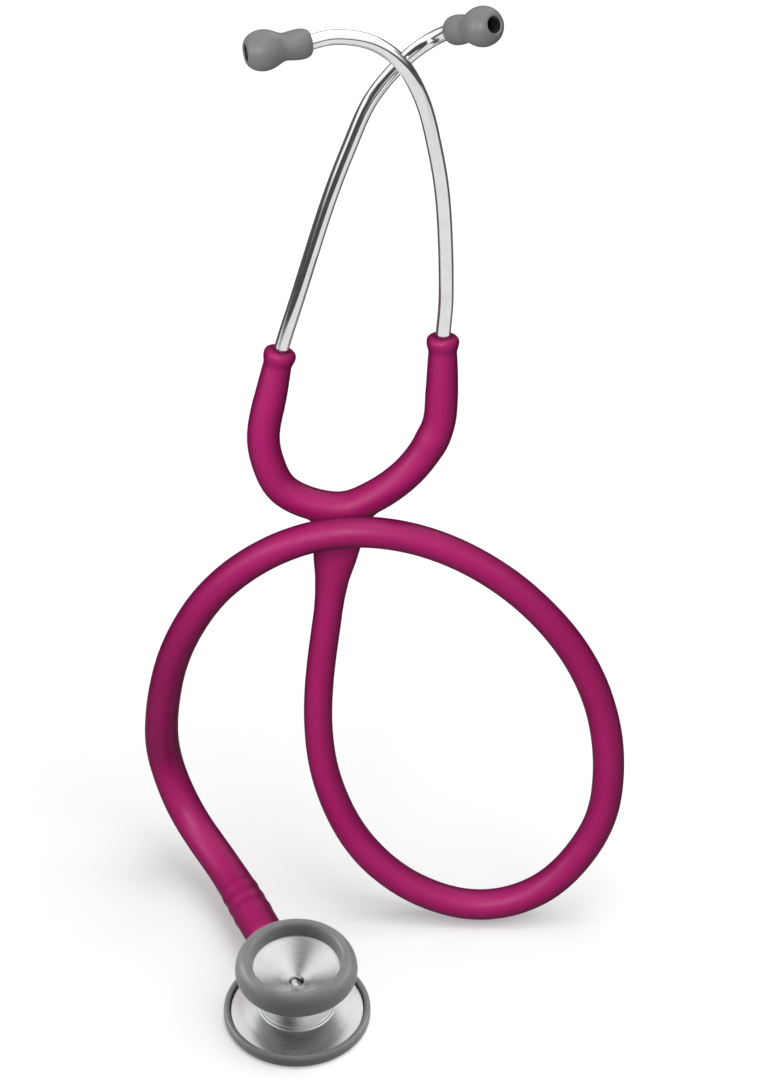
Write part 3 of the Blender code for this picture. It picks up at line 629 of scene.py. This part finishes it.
def arm_radius(from_lip):
    """Outer radius of an arm: a flared lip, a slight neck, then the full arm."""
    stops = [0.0, 2.2, 2.8, 3.4, 4.2, 5.0, 7.0, 12.0, 18.0]
    radii = [LIP_RADIUS, LIP_RADIUS, LIP_RADIUS - 0.08, LIP_RADIUS - 0.25, LIP_NECK_RADIUS + 0.12,
             LIP_NECK_RADIUS, LIP_NECK_RADIUS + 0.12, 4.55, ARM_RADIUS]
    return np.interp(from_lip, stops, radii)


def lip_profile(outer, bore, depth, corner=0.8, edge=0.3, steps=9):
    """Rings that turn over the open end of a tube, from deep in its bore to its outside."""
    rings = [(depth, bore), (depth * 0.5, bore), (edge * 2, bore)]
    for k in range(1, steps + 1):
        a = math.pi / 2 * k / steps
        rings.append((edge * (1 - math.sin(a)), bore + edge * (1 - math.cos(a))))
    for k in range(steps + 1):
        a = math.pi / 2 * k / steps
        rings.append((corner * (1 - math.cos(a)), outer - corner + corner * math.sin(a)))
    return rings


def make_arm(side, lip_station, joint, towards):
    """An arm of the yoke from its lip to its seam past the bend; towards is +1 down the path."""
    pivot = HEADSET.nearest(joint_place(joint))
    seam = pivot + towards * YOKE_SEAM
    length = abs(seam - lip_station)
    plain = length - ARM_SHAPED_LENGTH
    rings = lip_profile(LIP_RADIUS, ARM_BORE, ARM_BORE_DEPTH, LIP_CORNER)
    rings += [(d, float(arm_radius(d))) for d in np.arange(LIP_CORNER + 0.2, ARM_SHAPED_LENGTH, 0.3)]
    rings += [(d, float(arm_radius(d))) for d in np.linspace(ARM_SHAPED_LENGTH, length, int(plain / 0.6))]
    if side == "right":
        to_pivot = abs(pivot - lip_station)
        rings = [(d, r + knuckle(d, to_pivot) if d > ARM_SHAPED_LENGTH else r) for d, r in rings]
    profile = [(lip_station + towards * d, r) for d, r in rings]
    obj, stations = sweep("tubing_" + side + "_arm_skin", HEADSET, profile, 72, TUBE_WOBBLE, WOBBLE_SEED)
    face_outwards(obj)
    bodies = (side + "_ear", "yoke") if towards > 0 else ("yoke", side + "_ear")
    bend_with(obj, stations, HEADSET, joint, *bodies, SPREAD_BEND)
    return finish_piece(obj, PVC, ["tubing_" + side + "_arm"])


def knuckle(distance, pivot_distance):
    """The slight swelling where the ear tube ends inside the bent arm."""
    return 0.22 * math.exp(-((distance - pivot_distance + 3.0) / 3.2) ** 2)


def smooth_min(a, b, reach):
    h = np.maximum(reach - np.abs(a - b), 0.0) / reach
    return np.minimum(a, b) - h * h * reach / 4


class Core:
    """Centreline samples of a swept body, for reading distances to it."""

    def __init__(self, path, low, high, step=0.5):
        self.stations = np.arange(low, high + step / 2, step)
        self.points = path.read(path.points, self.stations)
        self.tangents = unit_rows(path.read(path.tangent, self.stations))

    def closest(self, places):
        """Offset from the nearest sample, that sample's tangent and its length along the path."""
        gaps = ((places[:, None, :] - self.points[None, :, :]) ** 2).sum(axis=2)
        index = np.argmin(gaps, axis=1)
        return places - self.points[index], self.tangents[index], self.stations[index]


class Junction:
    """The moulded Y as one smooth field: negative inside, zero on the surface."""

    FILLET = 3.2
    WEB_STOPS = [0.0, 10.0, 22.0, 34.0]
    WEB_DEPTHS = [3.3, 3.7, 4.1, 4.3]
    TUCK = 0.35

    def __init__(self, low, high):
        self.low, self.high = low, high
        self.bottom = Core(HEADSET, low - 8.0, high + 8.0)
        self.neck = Core(TUBING, 0.0, NECK_SEAM + 8.0)

    def field(self, places):
        offset, tangent, station = self.bottom.closest(places)
        along = np.sum(offset * tangent, axis=1)
        station = station + along
        radial = np.linalg.norm(offset - tangent * along[:, None], axis=1)
        past = np.maximum(self.low - station, station - self.high)
        bottom = radial - ARM_RADIUS + self.TUCK * smooth_step(past, 0.2, 2.4)
        offset, tangent, station = self.neck.closest(places)
        along = np.sum(offset * tangent, axis=1)
        station = station + along
        across = offset - tangent * along[:, None]
        depth = across @ FORWARD
        level = np.sum(across * across, axis=1) - depth * depth
        radius = tube_radius(np.maximum(station, 0.0))
        flat = np.interp(station, self.WEB_STOPS, self.WEB_DEPTHS)
        flat = np.minimum(radius, flat)
        neck = np.sqrt(np.maximum(level, 0.0) + (depth * radius / flat) ** 2) - radius
        neck = neck + self.TUCK * smooth_step(station, NECK_SEAM + 0.2, NECK_SEAM + 2.4)
        neck = np.maximum(neck, -station)
        return smooth_min(bottom, neck, self.FILLET)

    def slope(self, places, step=0.05):
        parts = []
        for k in range(3):
            shift = np.zeros(3)
            shift[k] = step
            parts.append((self.field(places + shift) - self.field(places - shift)) / (2 * step))
        return np.stack(parts, axis=1)

    def settle(self, places, rounds=4):
        """Move places onto the surface."""
        for _ in range(rounds):
            value = self.field(places)
            slope = self.slope(places)
            size = np.maximum(np.sum(slope * slope, axis=1), 0.05)
            places = places - slope * (value / size)[:, None]
        return places


def voxel_blank(name, pieces, voxel):
    """One closed mesh from overlapping closed pieces."""
    bpy.ops.object.select_all(action="DESELECT")
    for piece in pieces:
        piece.select_set(True)
    bpy.context.view_layer.objects.active = pieces[0]
    bpy.ops.object.join()
    obj = pieces[0]
    obj.name = name
    remesh = obj.modifiers.new("remesh", "REMESH")
    remesh.mode = "VOXEL"
    remesh.voxel_size = voxel * MM
    bpy.context.view_layer.update()
    evaluated = obj.evaluated_get(bpy.context.evaluated_depsgraph_get())
    mesh = bpy.data.meshes.new_from_object(evaluated)
    obj.modifiers.clear()
    obj.data = mesh
    return obj


def neighbour_average(mesh, places):
    edges = np.zeros(len(mesh.edges) * 2, np.int32)
    mesh.edges.foreach_get("vertices", edges)
    a, b = edges[0::2], edges[1::2]
    total = np.zeros_like(places)
    count = np.zeros(len(places))
    np.add.at(total, a, places[b])
    np.add.at(total, b, places[a])
    np.add.at(count, a, 1)
    np.add.at(count, b, 1)
    return total / np.maximum(count, 1)[:, None]


def mesh_places(mesh):
    flat = np.zeros(len(mesh.vertices) * 3, np.float32)
    mesh.vertices.foreach_get("co", flat)
    return flat.reshape(-1, 3).astype(float) / MM


def make_junction():
    """The yoke's bottom and its flared neck, moulded as one."""
    low = HEADSET.nearest(joint_place("left_eartube_spread")) + YOKE_SEAM
    high = HEADSET.nearest(joint_place("right_eartube_spread")) - YOKE_SEAM
    shape = Junction(low, high)
    bottom_stations = np.linspace(low - SEAM_OVERLAP, high + SEAM_OVERLAP, 60)
    neck_stations = np.linspace(0.0, NECK_SEAM + SEAM_OVERLAP, 60)
    bottom_rings = [(s, 4.4) for s in bottom_stations]
    neck_rings = [(s, float(tube_radius(s)) * 0.9) for s in neck_stations]
    bottom, _ = sweep("yoke_bottom_blank", HEADSET, bottom_rings, 32)
    neck, _ = sweep("yoke_neck_blank", TUBING, neck_rings, 32)
    for blank in (bottom, neck):
        face_outwards(blank)
    flatten(neck)
    obj = voxel_blank("tubing_yoke_skin", [bottom, neck], 0.5)
    places = mesh_places(obj.data)
    ends = shape_ends(places, low, high)
    for _ in range(5):
        relaxed = neighbour_average(obj.data, places)
        places = np.where(ends[:, None], places, places + 0.6 * (relaxed - places))
        places = np.where(ends[:, None], places, shape.settle(places, 2))
    places = places + shape.slope(places) * (TUBE_WOBBLE * soft_noise(places, 0.07, WOBBLE_SEED))[:, None]
    obj.data.vertices.foreach_set("co", (places * MM).astype(np.float32).ravel())
    obj.data.update()
    obj.data.shade_smooth()
    return finish_piece(obj, PVC, ["tubing_yoke"], "yoke")


def shape_ends(places, low, high):
    """Marks the flat cut ends, which stay hidden inside the neighbouring pieces."""
    marks = np.zeros(len(places), bool)
    ends = ((HEADSET, low - SEAM_OVERLAP, -1), (HEADSET, high + SEAM_OVERLAP, 1),
            (TUBING, NECK_SEAM + SEAM_OVERLAP, 1))
    for path, station, sign in ends:
        centre = path.read(path.points, [station])[0]
        tangent = unit_rows(path.read(path.tangent, [station]))[0] * sign
        offset = places - centre
        marks |= (offset @ tangent > -0.55) & (np.linalg.norm(offset, axis=1) < 6.0)
    return marks


def flatten(neck):
    """Thin the blank's flare in depth, as the field does."""
    places = mesh_places(neck.data)
    depth = (places - FOOT) @ FORWARD
    places = places + FORWARD * (depth * -0.4)[:, None]
    neck.data.vertices.foreach_set("co", (places * MM).astype(np.float32).ravel())
    neck.data.update()


def make_length(name, low, high, joint, bodies, nodes, open_end=False):
    """One length of the tubing between two stations of its path."""
    stations = list(np.linspace(low, high, int((high - low) / 0.8)))
    rings = [(s, float(tube_radius(s))) for s in stations]
    if open_end:
        rings = [(s, r) for s, r in rings if s < high - OPEN_END_CORNER]
        turn = lip_profile(float(tube_radius(high)), OPEN_END_BORE, OPEN_END_BORE_DEPTH, OPEN_END_CORNER)
        rings += [(high - d, r) for d, r in reversed(turn)]
    obj, at = sweep(name, TUBING, rings, 72, TUBE_WOBBLE, WOBBLE_SEED)
    face_outwards(obj)
    bend_with(obj, at, TUBING, joint, *bodies, FLEX_BEND)
    return finish_piece(obj, PVC, nodes)


def make_tubing():
    left_lip = HEADSET.nearest(headset_point(*LEFT_ARM[0]))
    right_lip = HEADSET.nearest(headset_point(*RIGHT_ARM[-1]))
    make_junction()
    make_arm("left", left_lip, "left_eartube_spread", 1.0)
    make_arm("right", right_lip, "right_eartube_spread", -1.0)
    make_length("tubing_neck_skin", NECK_SEAM, LOWER_SEAM, "tubing_neck_flex", ("yoke", "lower_run"), [])
    make_length("tubing_side_skin", LOWER_SEAM, UPPER_SEAM, "tubing_side_flex",
                ("lower_run", "upper_run"), ["tubing_lower_run"])
    make_length("tubing_end_skin", UPPER_SEAM, TUBING.length, "tubing_end_flex",
                ("upper_run", "end_run"), ["tubing_upper_run", "tubing_end_run"], open_end=True)
    return left_lip, right_lip


# ---------------------------------------------------------------- headset

SPRING_WIDTH = 3.2
SPRING_THICKNESS = 0.5
SPRING_REACH = 11.6
SPRING_EDGE = 0.7
EAR_TUBE_IN_ARM = 22.0


def make_spring_half(side, joint, towards_middle, nodes):
    """Half of the yoke's leaf spring, a flat strip along the yoke's path."""
    pivot = HEADSET.nearest(joint_place(joint))
    middle = (HEADSET.nearest(joint_place("left_eartube_spread"))
              + HEADSET.nearest(joint_place("right_eartube_spread"))) / 2
    stations = np.linspace(pivot - towards_middle * SPRING_REACH, middle, 60)
    centre = HEADSET.read(HEADSET.points, stations)
    tangent = unit_rows(HEADSET.read(HEADSET.tangent, stations))
    wide = FORWARD * SPRING_WIDTH / 2
    thick = unit_rows(np.cross(tangent, FORWARD)) * SPRING_THICKNESS / 2
    inset = wide * 0.97
    edge = thick * SPRING_EDGE
    corners = [wide + edge, inset + thick, -inset + thick, -wide + edge,
               -wide - edge, -inset - thick, inset - thick, wide - edge]
    verts = np.stack([centre + corner for corner in corners], axis=1).reshape(-1, 3)
    sides = len(corners)
    faces = grid_faces(len(stations), sides)
    faces += [tuple(reversed(range(sides))), tuple(range(len(verts) - sides, len(verts)))]
    obj = add_mesh("leaf_spring_" + side + "_half", verts, faces, sharp_angle=40)
    face_outwards(obj)
    bodies = (side + "_ear", "yoke") if towards_middle > 0 else ("yoke", side + "_ear")
    at = np.repeat(stations, sides)
    bend_with(obj, at, HEADSET, joint, *bodies, SPREAD_BEND)
    return finish_piece(obj, STEEL, nodes)


def make_ear_tube(side, tip_station, lip_station):
    towards_lip = 1.0 if lip_station > tip_station else -1.0
    foot = lip_station + towards_lip * EAR_TUBE_IN_ARM
    count = int(abs(foot - tip_station) / 0.9)
    profile = [(s, EAR_TUBE_RADIUS) for s in np.linspace(tip_station, foot, count)]
    obj, _ = sweep(side + "_eartube_skin", HEADSET, profile, 48)
    face_outwards(obj)
    return finish_piece(obj, CHROME, [side + "_eartube"], side + "_ear")


MOUTH_RADIUS = 2.36


def eartip_outline():
    """Outside of a soft tip: rounded base, slight waist, mushroom end, then its passage."""
    base = [(2.3, 4.0), (2.3, 0.6), (2.42, 0.1), (2.8, -0.1), (3.3, 0.12), (3.78, 0.7), (4.1, 1.5),
            (4.25, 2.4), (4.27, 3.4), (4.2, 4.6), (4.05, 5.8), (3.9, 6.8), (3.92, 7.7), (4.2, 8.6)]
    ball = [(4.62, 9.45), (5.05, 10.4), (5.42, 11.4), (5.66, 12.5), (5.74, 13.5), (5.66, 14.5),
            (5.4, 15.6), (4.95, 16.6), (4.3, 17.5), (3.6, 18.1), (3.05, 18.4), (2.75, 18.45)]
    mouth = [(2.5, 18.35), (MOUTH_RADIUS, 18.1), (2.3, 17.5), (2.25, 15.0), (2.1, 12.0), (1.7, 9.6)]
    return base + ball + mouth


def smooth_outline(points, per_span=5):
    """A rounder version of an open outline that passes through its points."""
    rows = [np.array(p, float) for p in points]
    ends = [rows[0] * 2 - rows[1]] + rows + [rows[-1] * 2 - rows[-2]]
    dense = []
    for i in range(len(rows) - 1):
        dense += [tuple(spline_point(*ends[i:i + 4], k / per_span)) for k in range(per_span)]
    return dense + [tuple(rows[-1])]


def make_eartip(side, base, axis):
    outline = smooth_outline(eartip_outline(), 4)
    outline += [(0.0, outline[-1][1])]
    outline = [(0.0, outline[0][1])] + outline
    obj = turned(side + "_eartip_skin", outline, 96, 60)
    place_along(obj, headset_point(*base), headset_direction(*axis))
    finish_piece(obj, EARTIP, [side + "_eartip"], side + "_ear")
    # Painted shade: the passage inside the mouth and its closed bottom take the near-black material, for the
    # dark inside of the hole.
    obj.data.materials.append(CORE_AND_MOUTH_SHADE)
    for face in obj.data.polygons:
        centre = face.center / MM
        if centre.z > 9.0 and math.hypot(centre.x, centre.y) < MOUTH_RADIUS:
            face.material_index = 1
    return obj


# ---------------------------------------------------------------- chestpiece

DETENT_AT = -4.0
DIMPLE_RADIUS = 1.0
DIMPLE_REACH = 2.9
PORT_RADIUS = 1.0


def body_outline():
    """Half section of the machined body with broken edges."""
    hole = [(0.0, 12.2), (2.2, 12.2), (2.2, 14.45), (2.35, 14.6)]
    dish = [(4.4, 15.5), (11.8, 19.65), (12.9, 20.3)]
    bell = [(15.2, 20.3), (15.2, 19.1), (12.8, 19.1), (12.7, 18.3), (12.1, 17.0), (11.3, 15.6)]
    drum = [(10.8, 14.0), (10.8, 5.85), (11.15, 5.65), (11.15, 4.75)]
    flange = [(11.55, 4.5), (16.0, 3.45), (19.9, 2.72), (20.05, 2.3), (20.3, 2.25), (21.0, 2.3), (21.0, 1.6)]
    chamber = [(17.5, 1.6), (17.2, 2.0), (8.0, 2.9), (0.0, 3.3)]
    return hole + dish + bell + drum + flange + chamber


def make_body():
    outline = body_outline()
    soft = {(4.4, 15.5): 6.0, (11.8, 19.65): 1.5, (12.1, 17.0): 1.5, (11.3, 15.6): 2.0, (10.8, 14.0): 1.0,
            (10.8, 5.85): 0.15, (11.15, 5.65): 0.2, (11.15, 4.75): 0.2, (11.55, 4.5): 0.5, (16.0, 3.45): 20.0,
            (19.9, 2.72): 0.15, (2.35, 14.6): 0.12}
    outline = round_corners(outline, {outline.index(corner): r for corner, r in soft.items()})
    body = turned("chestpiece_body_skin", outline, 144)
    bore_outline = [(0.0, 13.0), (3.9, 13.0), (3.9, 7.0), (2.5, 7.0), (2.5, -6.6), (0.0, -6.6)]
    bore = turned("cut_bore", bore_outline, 48)
    place_along(bore, STEM_CENTRE, STEM_DIRECTION)
    cut(body, [bore])
    return finish_piece(body, METAL, ["chestpiece_body"], "chestpiece")


def make_bell_rim():
    inner_wall = [(12.9, 20.25), (12.92, 20.9), (13.0, 21.8), (13.3, 23.1), (13.9, 24.15), (14.9, 24.6)]
    outer_wall = [(16.0, 24.3), (17.2, 23.15), (18.0, 21.4), (18.25, 19.7), (17.95, 18.1), (17.2, 17.25)]
    underside = [(16.4, 17.0), (15.5, 17.1), (14.4, 17.7), (13.5, 18.8)]
    section = smooth_outline(inner_wall + outer_wall + underside, 6)
    outline = section + [(15.5, 18.8), (15.5, 20.6), (13.3, 20.6)]
    ring = turned("bell_rim_skin", outline, 144)
    return finish_piece(ring, RIM, ["bell_rim"], "chestpiece")


def make_diaphragm_rim():
    outer = [(20.2, 2.75), (20.2, 3.8), (21.3, 3.8), (22.0, 3.1), (22.0, 0.9), (21.4, 0.2), (19.5, 0.2),
             (19.5, 0.6), (21.3, 0.6), (21.3, 2.75)]
    outline = round_corners(outer + [outer[0]], {1: 0.25, 2: 0.6, 3: 0.9, 4: 0.7, 5: 0.5, 6: 0.12})[:-1]
    ring = turned("diaphragm_rim_skin", outline, 160)
    return finish_piece(ring, RIM, ["diaphragm_rim"], "chestpiece")


def make_diaphragm():
    sheet = [(0.0, 0.4), (18.3, 0.4), (18.7, 1.3), (21.0, 1.3), (21.0, 0.9), (19.0, 0.9), (18.6, 0.0),
             (0.0, 0.0)]
    outline = round_corners(sheet, {1: 0.4, 2: 0.4, 5: 0.3, 6: 0.3})
    film = turned("diaphragm_skin", outline, 144)
    return finish_piece(film, FILM, ["diaphragm"], "chestpiece")


def stem_outline():
    """Outside of the stem in the open, from inside the counterbore to inside the tubing."""
    nose = [(0.0, -6.2), (2.2, -6.2), (2.2, 7.3), (3.6, 7.3), (3.6, 8.2), (2.4, 8.2), (2.4, 11.4)]
    shank = [(2.9, 12.2), (2.9, 24.6), (2.0, 25.0)]
    barbs = []
    for crest in (33.5, 38.5, 43.5):
        barbs += [(2.0, crest - 0.6), (2.6, crest - 0.6), (2.6, crest)]
    return nose + shank + barbs + [(1.9, 46.0), (0.0, 46.0)]


def ball_outline(radius, steps=14):
    """Half circle from a ball's lowest point to its highest."""
    angles = np.linspace(-math.pi / 2, math.pi / 2, steps + 1)[1:-1]
    middle = [(radius * math.cos(a), radius * math.sin(a)) for a in angles]
    return [(0.0, -radius)] + middle + [(0.0, radius)]


def make_stem():
    """The stem with its side port below and the two dimples that the detent ball drops into."""
    outline = round_corners(stem_outline(), {4: 0.2, 5: 0.3, 6: 0.2, 7: 0.2, 8: 0.2})
    stem = turned("stem_skin", outline, 64)
    place_along(stem, STEM_CENTRE, STEM_DIRECTION)
    port = turned("cut_port", [(0.0, -4.0), (PORT_RADIUS, -4.0), (PORT_RADIUS, -0.5), (0.0, -0.5)], 32)
    port.location = Vector(STEM_CENTRE) * MM
    tools = [port]
    detent = STEM_CENTRE + STEM_DIRECTION * DETENT_AT
    sideways = np.array((STEM_DIRECTION[1], -STEM_DIRECTION[0], 0.0))
    for side in (-1.0, 1.0):
        dimple = turned("cut_dimple", ball_outline(DIMPLE_RADIUS), 32)
        dimple.location = Vector(detent + sideways * side * DIMPLE_REACH) * MM
        tools.append(dimple)
    cut(stem, tools)
    return finish_piece(stem, STEM_METAL, ["stem"], "end_run")


# ---------------------------------------------------------------- carried-over CAD nodes

def paint_nodes():
    """Better materials for the small internal solids that keep their CAD shapes."""
    looks = {"left_spring_clip": STEEL, "right_spring_clip": STEEL,
             "left_eartip_core": CORE_AND_MOUTH_SHADE, "right_eartip_core": CORE_AND_MOUTH_SHADE, "stem_o_ring": SEAL,
             "stem_retaining_ring": STEEL, "detent_ball": STEEL, "detent_spring": STEEL, "detent_plug": STEEL}
    for name, material in looks.items():
        NODES[name].data.materials.clear()
        NODES[name].data.materials.append(material)


# ---------------------------------------------------------------- floor, light and camera

FLOOR_HALF_SIDE = 6.0
FLOOR_GAP = 0.00002
FLOOR_BOUNCE = 0.35
FLOOR_LIFT = 0.36
FLOOR_LIFT_FAR = 0.90
FLOOR_LIFT_SPAN = (0.25, 2.4)
FLOOR_FRONT = 0.85
FLOOR_BACK = 0.10
FLOOR_FADE = (0.05, 0.16)


def make_floor():
    half = FLOOR_HALF_SIDE
    mesh = bpy.data.meshes.new("floor")
    corners = [(-half, -half, 0), (half, -half, 0), (half, half, 0), (-half, half, 0)]
    mesh.from_pydata(corners, [], [(0, 1, 2, 3)])
    floor = bpy.data.objects.new("floor", mesh)
    bpy.context.scene.collection.objects.link(floor)
    floor.location.z = CAD_BOX[0].z - FLOOR_GAP
    g = Graph("pale_floor")
    paper = g.noise(30.0, 3.0)
    pale = g.ramp(paper, [(0.3, (0.79, 0.79, 0.79)), (0.7, (0.81, 0.81, 0.81))])
    rays = g.tree.nodes.new("ShaderNodeLightPath")
    mix = g.tree.nodes.new("ShaderNodeMix")
    mix.data_type = "RGBA"
    mix.inputs[6].default_value = (FLOOR_BOUNCE, FLOOR_BOUNCE, FLOOR_BOUNCE, 1.0)
    g.link(rays.outputs["Is Camera Ray"], mix.inputs[0])
    g.link(pale, mix.inputs[7])
    g.principled(Base_Color=mix.outputs[2], Roughness=0.9, Specular_IOR_Level=0.1)
    split = g.tree.nodes.new("ShaderNodeSeparateXYZ")
    g.link(g.place, split.inputs[0])
    glow = g.tree.nodes.new("ShaderNodeEmission")
    away, _ = g.radius_from_axis()
    lift = g.spread(away, FLOOR_LIFT, FLOOR_LIFT_FAR, *FLOOR_LIFT_SPAN)
    g.link(g.math("MULTIPLY", rays.outputs["Is Camera Ray"], lift), glow.inputs["Strength"])
    lifted = g.tree.nodes.new("ShaderNodeAddShader")
    g.link(g.shader.outputs[0], lifted.inputs[0])
    g.link(glow.outputs[0], lifted.inputs[1])
    seen = g.tree.nodes.new("ShaderNodeEmission")
    mirrored_light = g.spread(split.outputs[1], FLOOR_FRONT, FLOOR_BACK, *FLOOR_FADE)
    g.link(mirrored_light, seen.inputs["Strength"])
    mirrored = g.tree.nodes.new("ShaderNodeMixShader")
    g.link(rays.outputs["Is Glossy Ray"], mirrored.inputs[0])
    g.link(lifted.outputs[0], mirrored.inputs[1])
    g.link(seen.outputs[0], mirrored.inputs[2])
    g.link(mirrored.outputs[0], g.output.inputs["Surface"])
    mesh.materials.append(g.material)


AMBIENT = 0.25
ROOM_LIGHT = 1.35
ROOM_DARK = 0.09


def make_world():
    """A white studio for the camera, with softer and darker zones for the reflections."""
    world = bpy.data.worlds.new("studio")
    bpy.context.scene.world = world
    world.use_nodes = True
    tree = world.node_tree
    tree.nodes.clear()
    output = tree.nodes.new("ShaderNodeOutputWorld")
    white = tree.nodes.new("ShaderNodeBackground")
    white.inputs["Strength"].default_value = 1.0
    room = tree.nodes.new("ShaderNodeBackground")
    ambient = tree.nodes.new("ShaderNodeBackground")
    ambient.inputs["Strength"].default_value = AMBIENT
    place = tree.nodes.new("ShaderNodeTexCoord")
    split = tree.nodes.new("ShaderNodeSeparateXYZ")
    tree.links.new(place.outputs["Generated"], split.inputs[0])

    def step(source, low, high, top=1.0):
        node = tree.nodes.new("ShaderNodeMapRange")
        node.interpolation_type = "SMOOTHSTEP"
        node.inputs["From Min"].default_value = low
        node.inputs["From Max"].default_value = high
        node.inputs["To Max"].default_value = top
        tree.links.new(source, node.inputs["Value"])
        return node.outputs["Result"]

    def join(operation, a, b):
        node = tree.nodes.new("ShaderNodeMath")
        node.operation = operation
        for socket, value in zip(node.inputs, (a, b)):
            if isinstance(value, bpy.types.NodeSocket):
                tree.links.new(value, socket)
            else:
                socket.default_value = value
        return node.outputs[0]

    edge = join("ADD", split.outputs["X"], join("MULTIPLY", split.outputs["Y"], -0.5))
    behind = join("MULTIPLY", join("MAXIMUM", split.outputs["Y"], 0.0), 0.2)
    left = step(join("SUBTRACT", behind, edge), 0.33, 0.50)
    right = step(split.outputs["X"], 0.0, 0.15)
    lit = join("MULTIPLY", join("MAXIMUM", left, right), step(split.outputs["Z"], 0.12, 0.34))
    tree.links.new(join("ADD", join("MULTIPLY", lit, ROOM_LIGHT), ROOM_DARK), room.inputs["Strength"])
    rays = tree.nodes.new("ShaderNodeLightPath")
    mirror = tree.nodes.new("ShaderNodeMixShader")
    tree.links.new(rays.outputs["Is Glossy Ray"], mirror.inputs[0])
    tree.links.new(ambient.outputs[0], mirror.inputs[1])
    tree.links.new(room.outputs[0], mirror.inputs[2])
    mix = tree.nodes.new("ShaderNodeMixShader")
    tree.links.new(rays.outputs["Is Camera Ray"], mix.inputs[0])
    tree.links.new(mirror.outputs[0], mix.inputs[1])
    tree.links.new(white.outputs[0], mix.inputs[2])
    tree.links.new(mix.outputs[0], output.inputs["Surface"])


def add_area(name, location, target, size, power, size_y=None):
    light = bpy.data.lights.new(name, "AREA")
    light.energy = power
    light.shape = "RECTANGLE"
    light.size = size
    light.size_y = size_y or size
    obj = bpy.data.objects.new(name, light)
    bpy.context.scene.collection.objects.link(obj)
    obj.location = location
    direction = Vector(target) - Vector(location)
    obj.rotation_mode = "QUATERNION"
    obj.rotation_quaternion = direction.to_track_quat("-Z", "Y")
    return obj


def light_only(light, pieces):
    """Let a light reach only some pieces."""
    group = bpy.data.collections.new(light.name + "_reach")
    for piece in pieces:
        group.objects.link(piece)
    light.light_linking.receiver_collection = group


def make_lights():
    middle = (0.02, 0.05, 0.12)
    chestpiece = (0.0, 0.0, 0.02)
    pieces = [o for o in bpy.context.scene.objects if o.type == "MESH"]
    floors = [o for o in pieces if o.name == "floor"]
    soft = [o for o in pieces if not is_made_of(o, METALS) and o not in floors]
    rims = [o for o in pieces if is_made_of(o, {RIM.name})]
    tubing = [o for o in soft if o not in rims]
    bright_tubes = [o for o in pieces if o.name.endswith("_eartube_skin")]
    boxes = [
        ("key_softbox", (-0.26, -0.90, 1.02), middle, 0.5, 13.4, tubing),
        ("fill_softbox", (0.95, -0.45, 0.75), middle, 0.45, 1.5, soft),
        ("left_fill_softbox", (-1.0, -0.35, 0.60), middle, 0.45, 6.0, tubing),
        ("top_softbox", (0.15, 0.20, 1.25), middle, 0.6, 4.0, soft + floors),
        ("back_softbox", (0.55, 1.0, 0.9), middle, 0.6, 3.0, soft),
        ("floor_softbox", (1.3, -0.2, 3.3), (0.0, 0.15, 0.0), 4.2, 85.0, floors),
        ("rim_front_card", (0.0, -0.75, 1.0), chestpiece, 0.5, 2.6, rims),
        ("left_card", (-0.95, 0.35, 0.50), chestpiece, 0.6, 13.0, rims),
        ("right_card", (0.95, 0.35, 0.50), chestpiece, 0.6, 10.0, rims),
    ]
    for name, place, target, size, power, reach in boxes:
        light_only(add_area(name, place, target, size, power), reach)
    overhead = add_area("overhead_card", (0.0, 0.75, 1.15), (0.0, 0.05, 0.25), 1.6, 9.0, 1.9)
    light_only(overhead, bright_tubes)


def is_made_of(obj, names):
    return any(material and material.name in names for material in obj.data.materials)


def make_camera():
    camera = bpy.data.cameras.new("camera")
    camera.lens = 130.0
    camera.sensor_width = 36.0
    camera.clip_start = 0.05
    camera.clip_end = 50.0
    obj = bpy.data.objects.new("camera", camera)
    bpy.context.scene.collection.objects.link(obj)
    obj.location = (0.0265, -0.803, 0.865)
    obj.rotation_euler = (math.radians(90.0 - 40.2), 0.0, 0.0)
    bpy.context.scene.camera = obj


# ---------------------------------------------------------------- assembly

left_lip, right_lip = make_tubing()
make_spring_half("left", "left_eartube_spread", 1.0, ["yoke_leaf_spring"])
make_spring_half("right", "right_eartube_spread", -1.0, [])
make_ear_tube("left", 0.0, left_lip)
make_ear_tube("right", HEADSET.length, right_lip)
make_eartip("left", LEFT_TIP_BASE, LEFT_TIP_AXIS)
make_eartip("right", RIGHT_TIP_BASE, RIGHT_TIP_AXIS)
make_body()
make_bell_rim()
make_diaphragm_rim()
make_diaphragm()
make_stem()
paint_nodes()
make_floor()
make_world()
make_lights()
make_camera()
bpy.context.scene.view_settings.view_transform = "Standard"
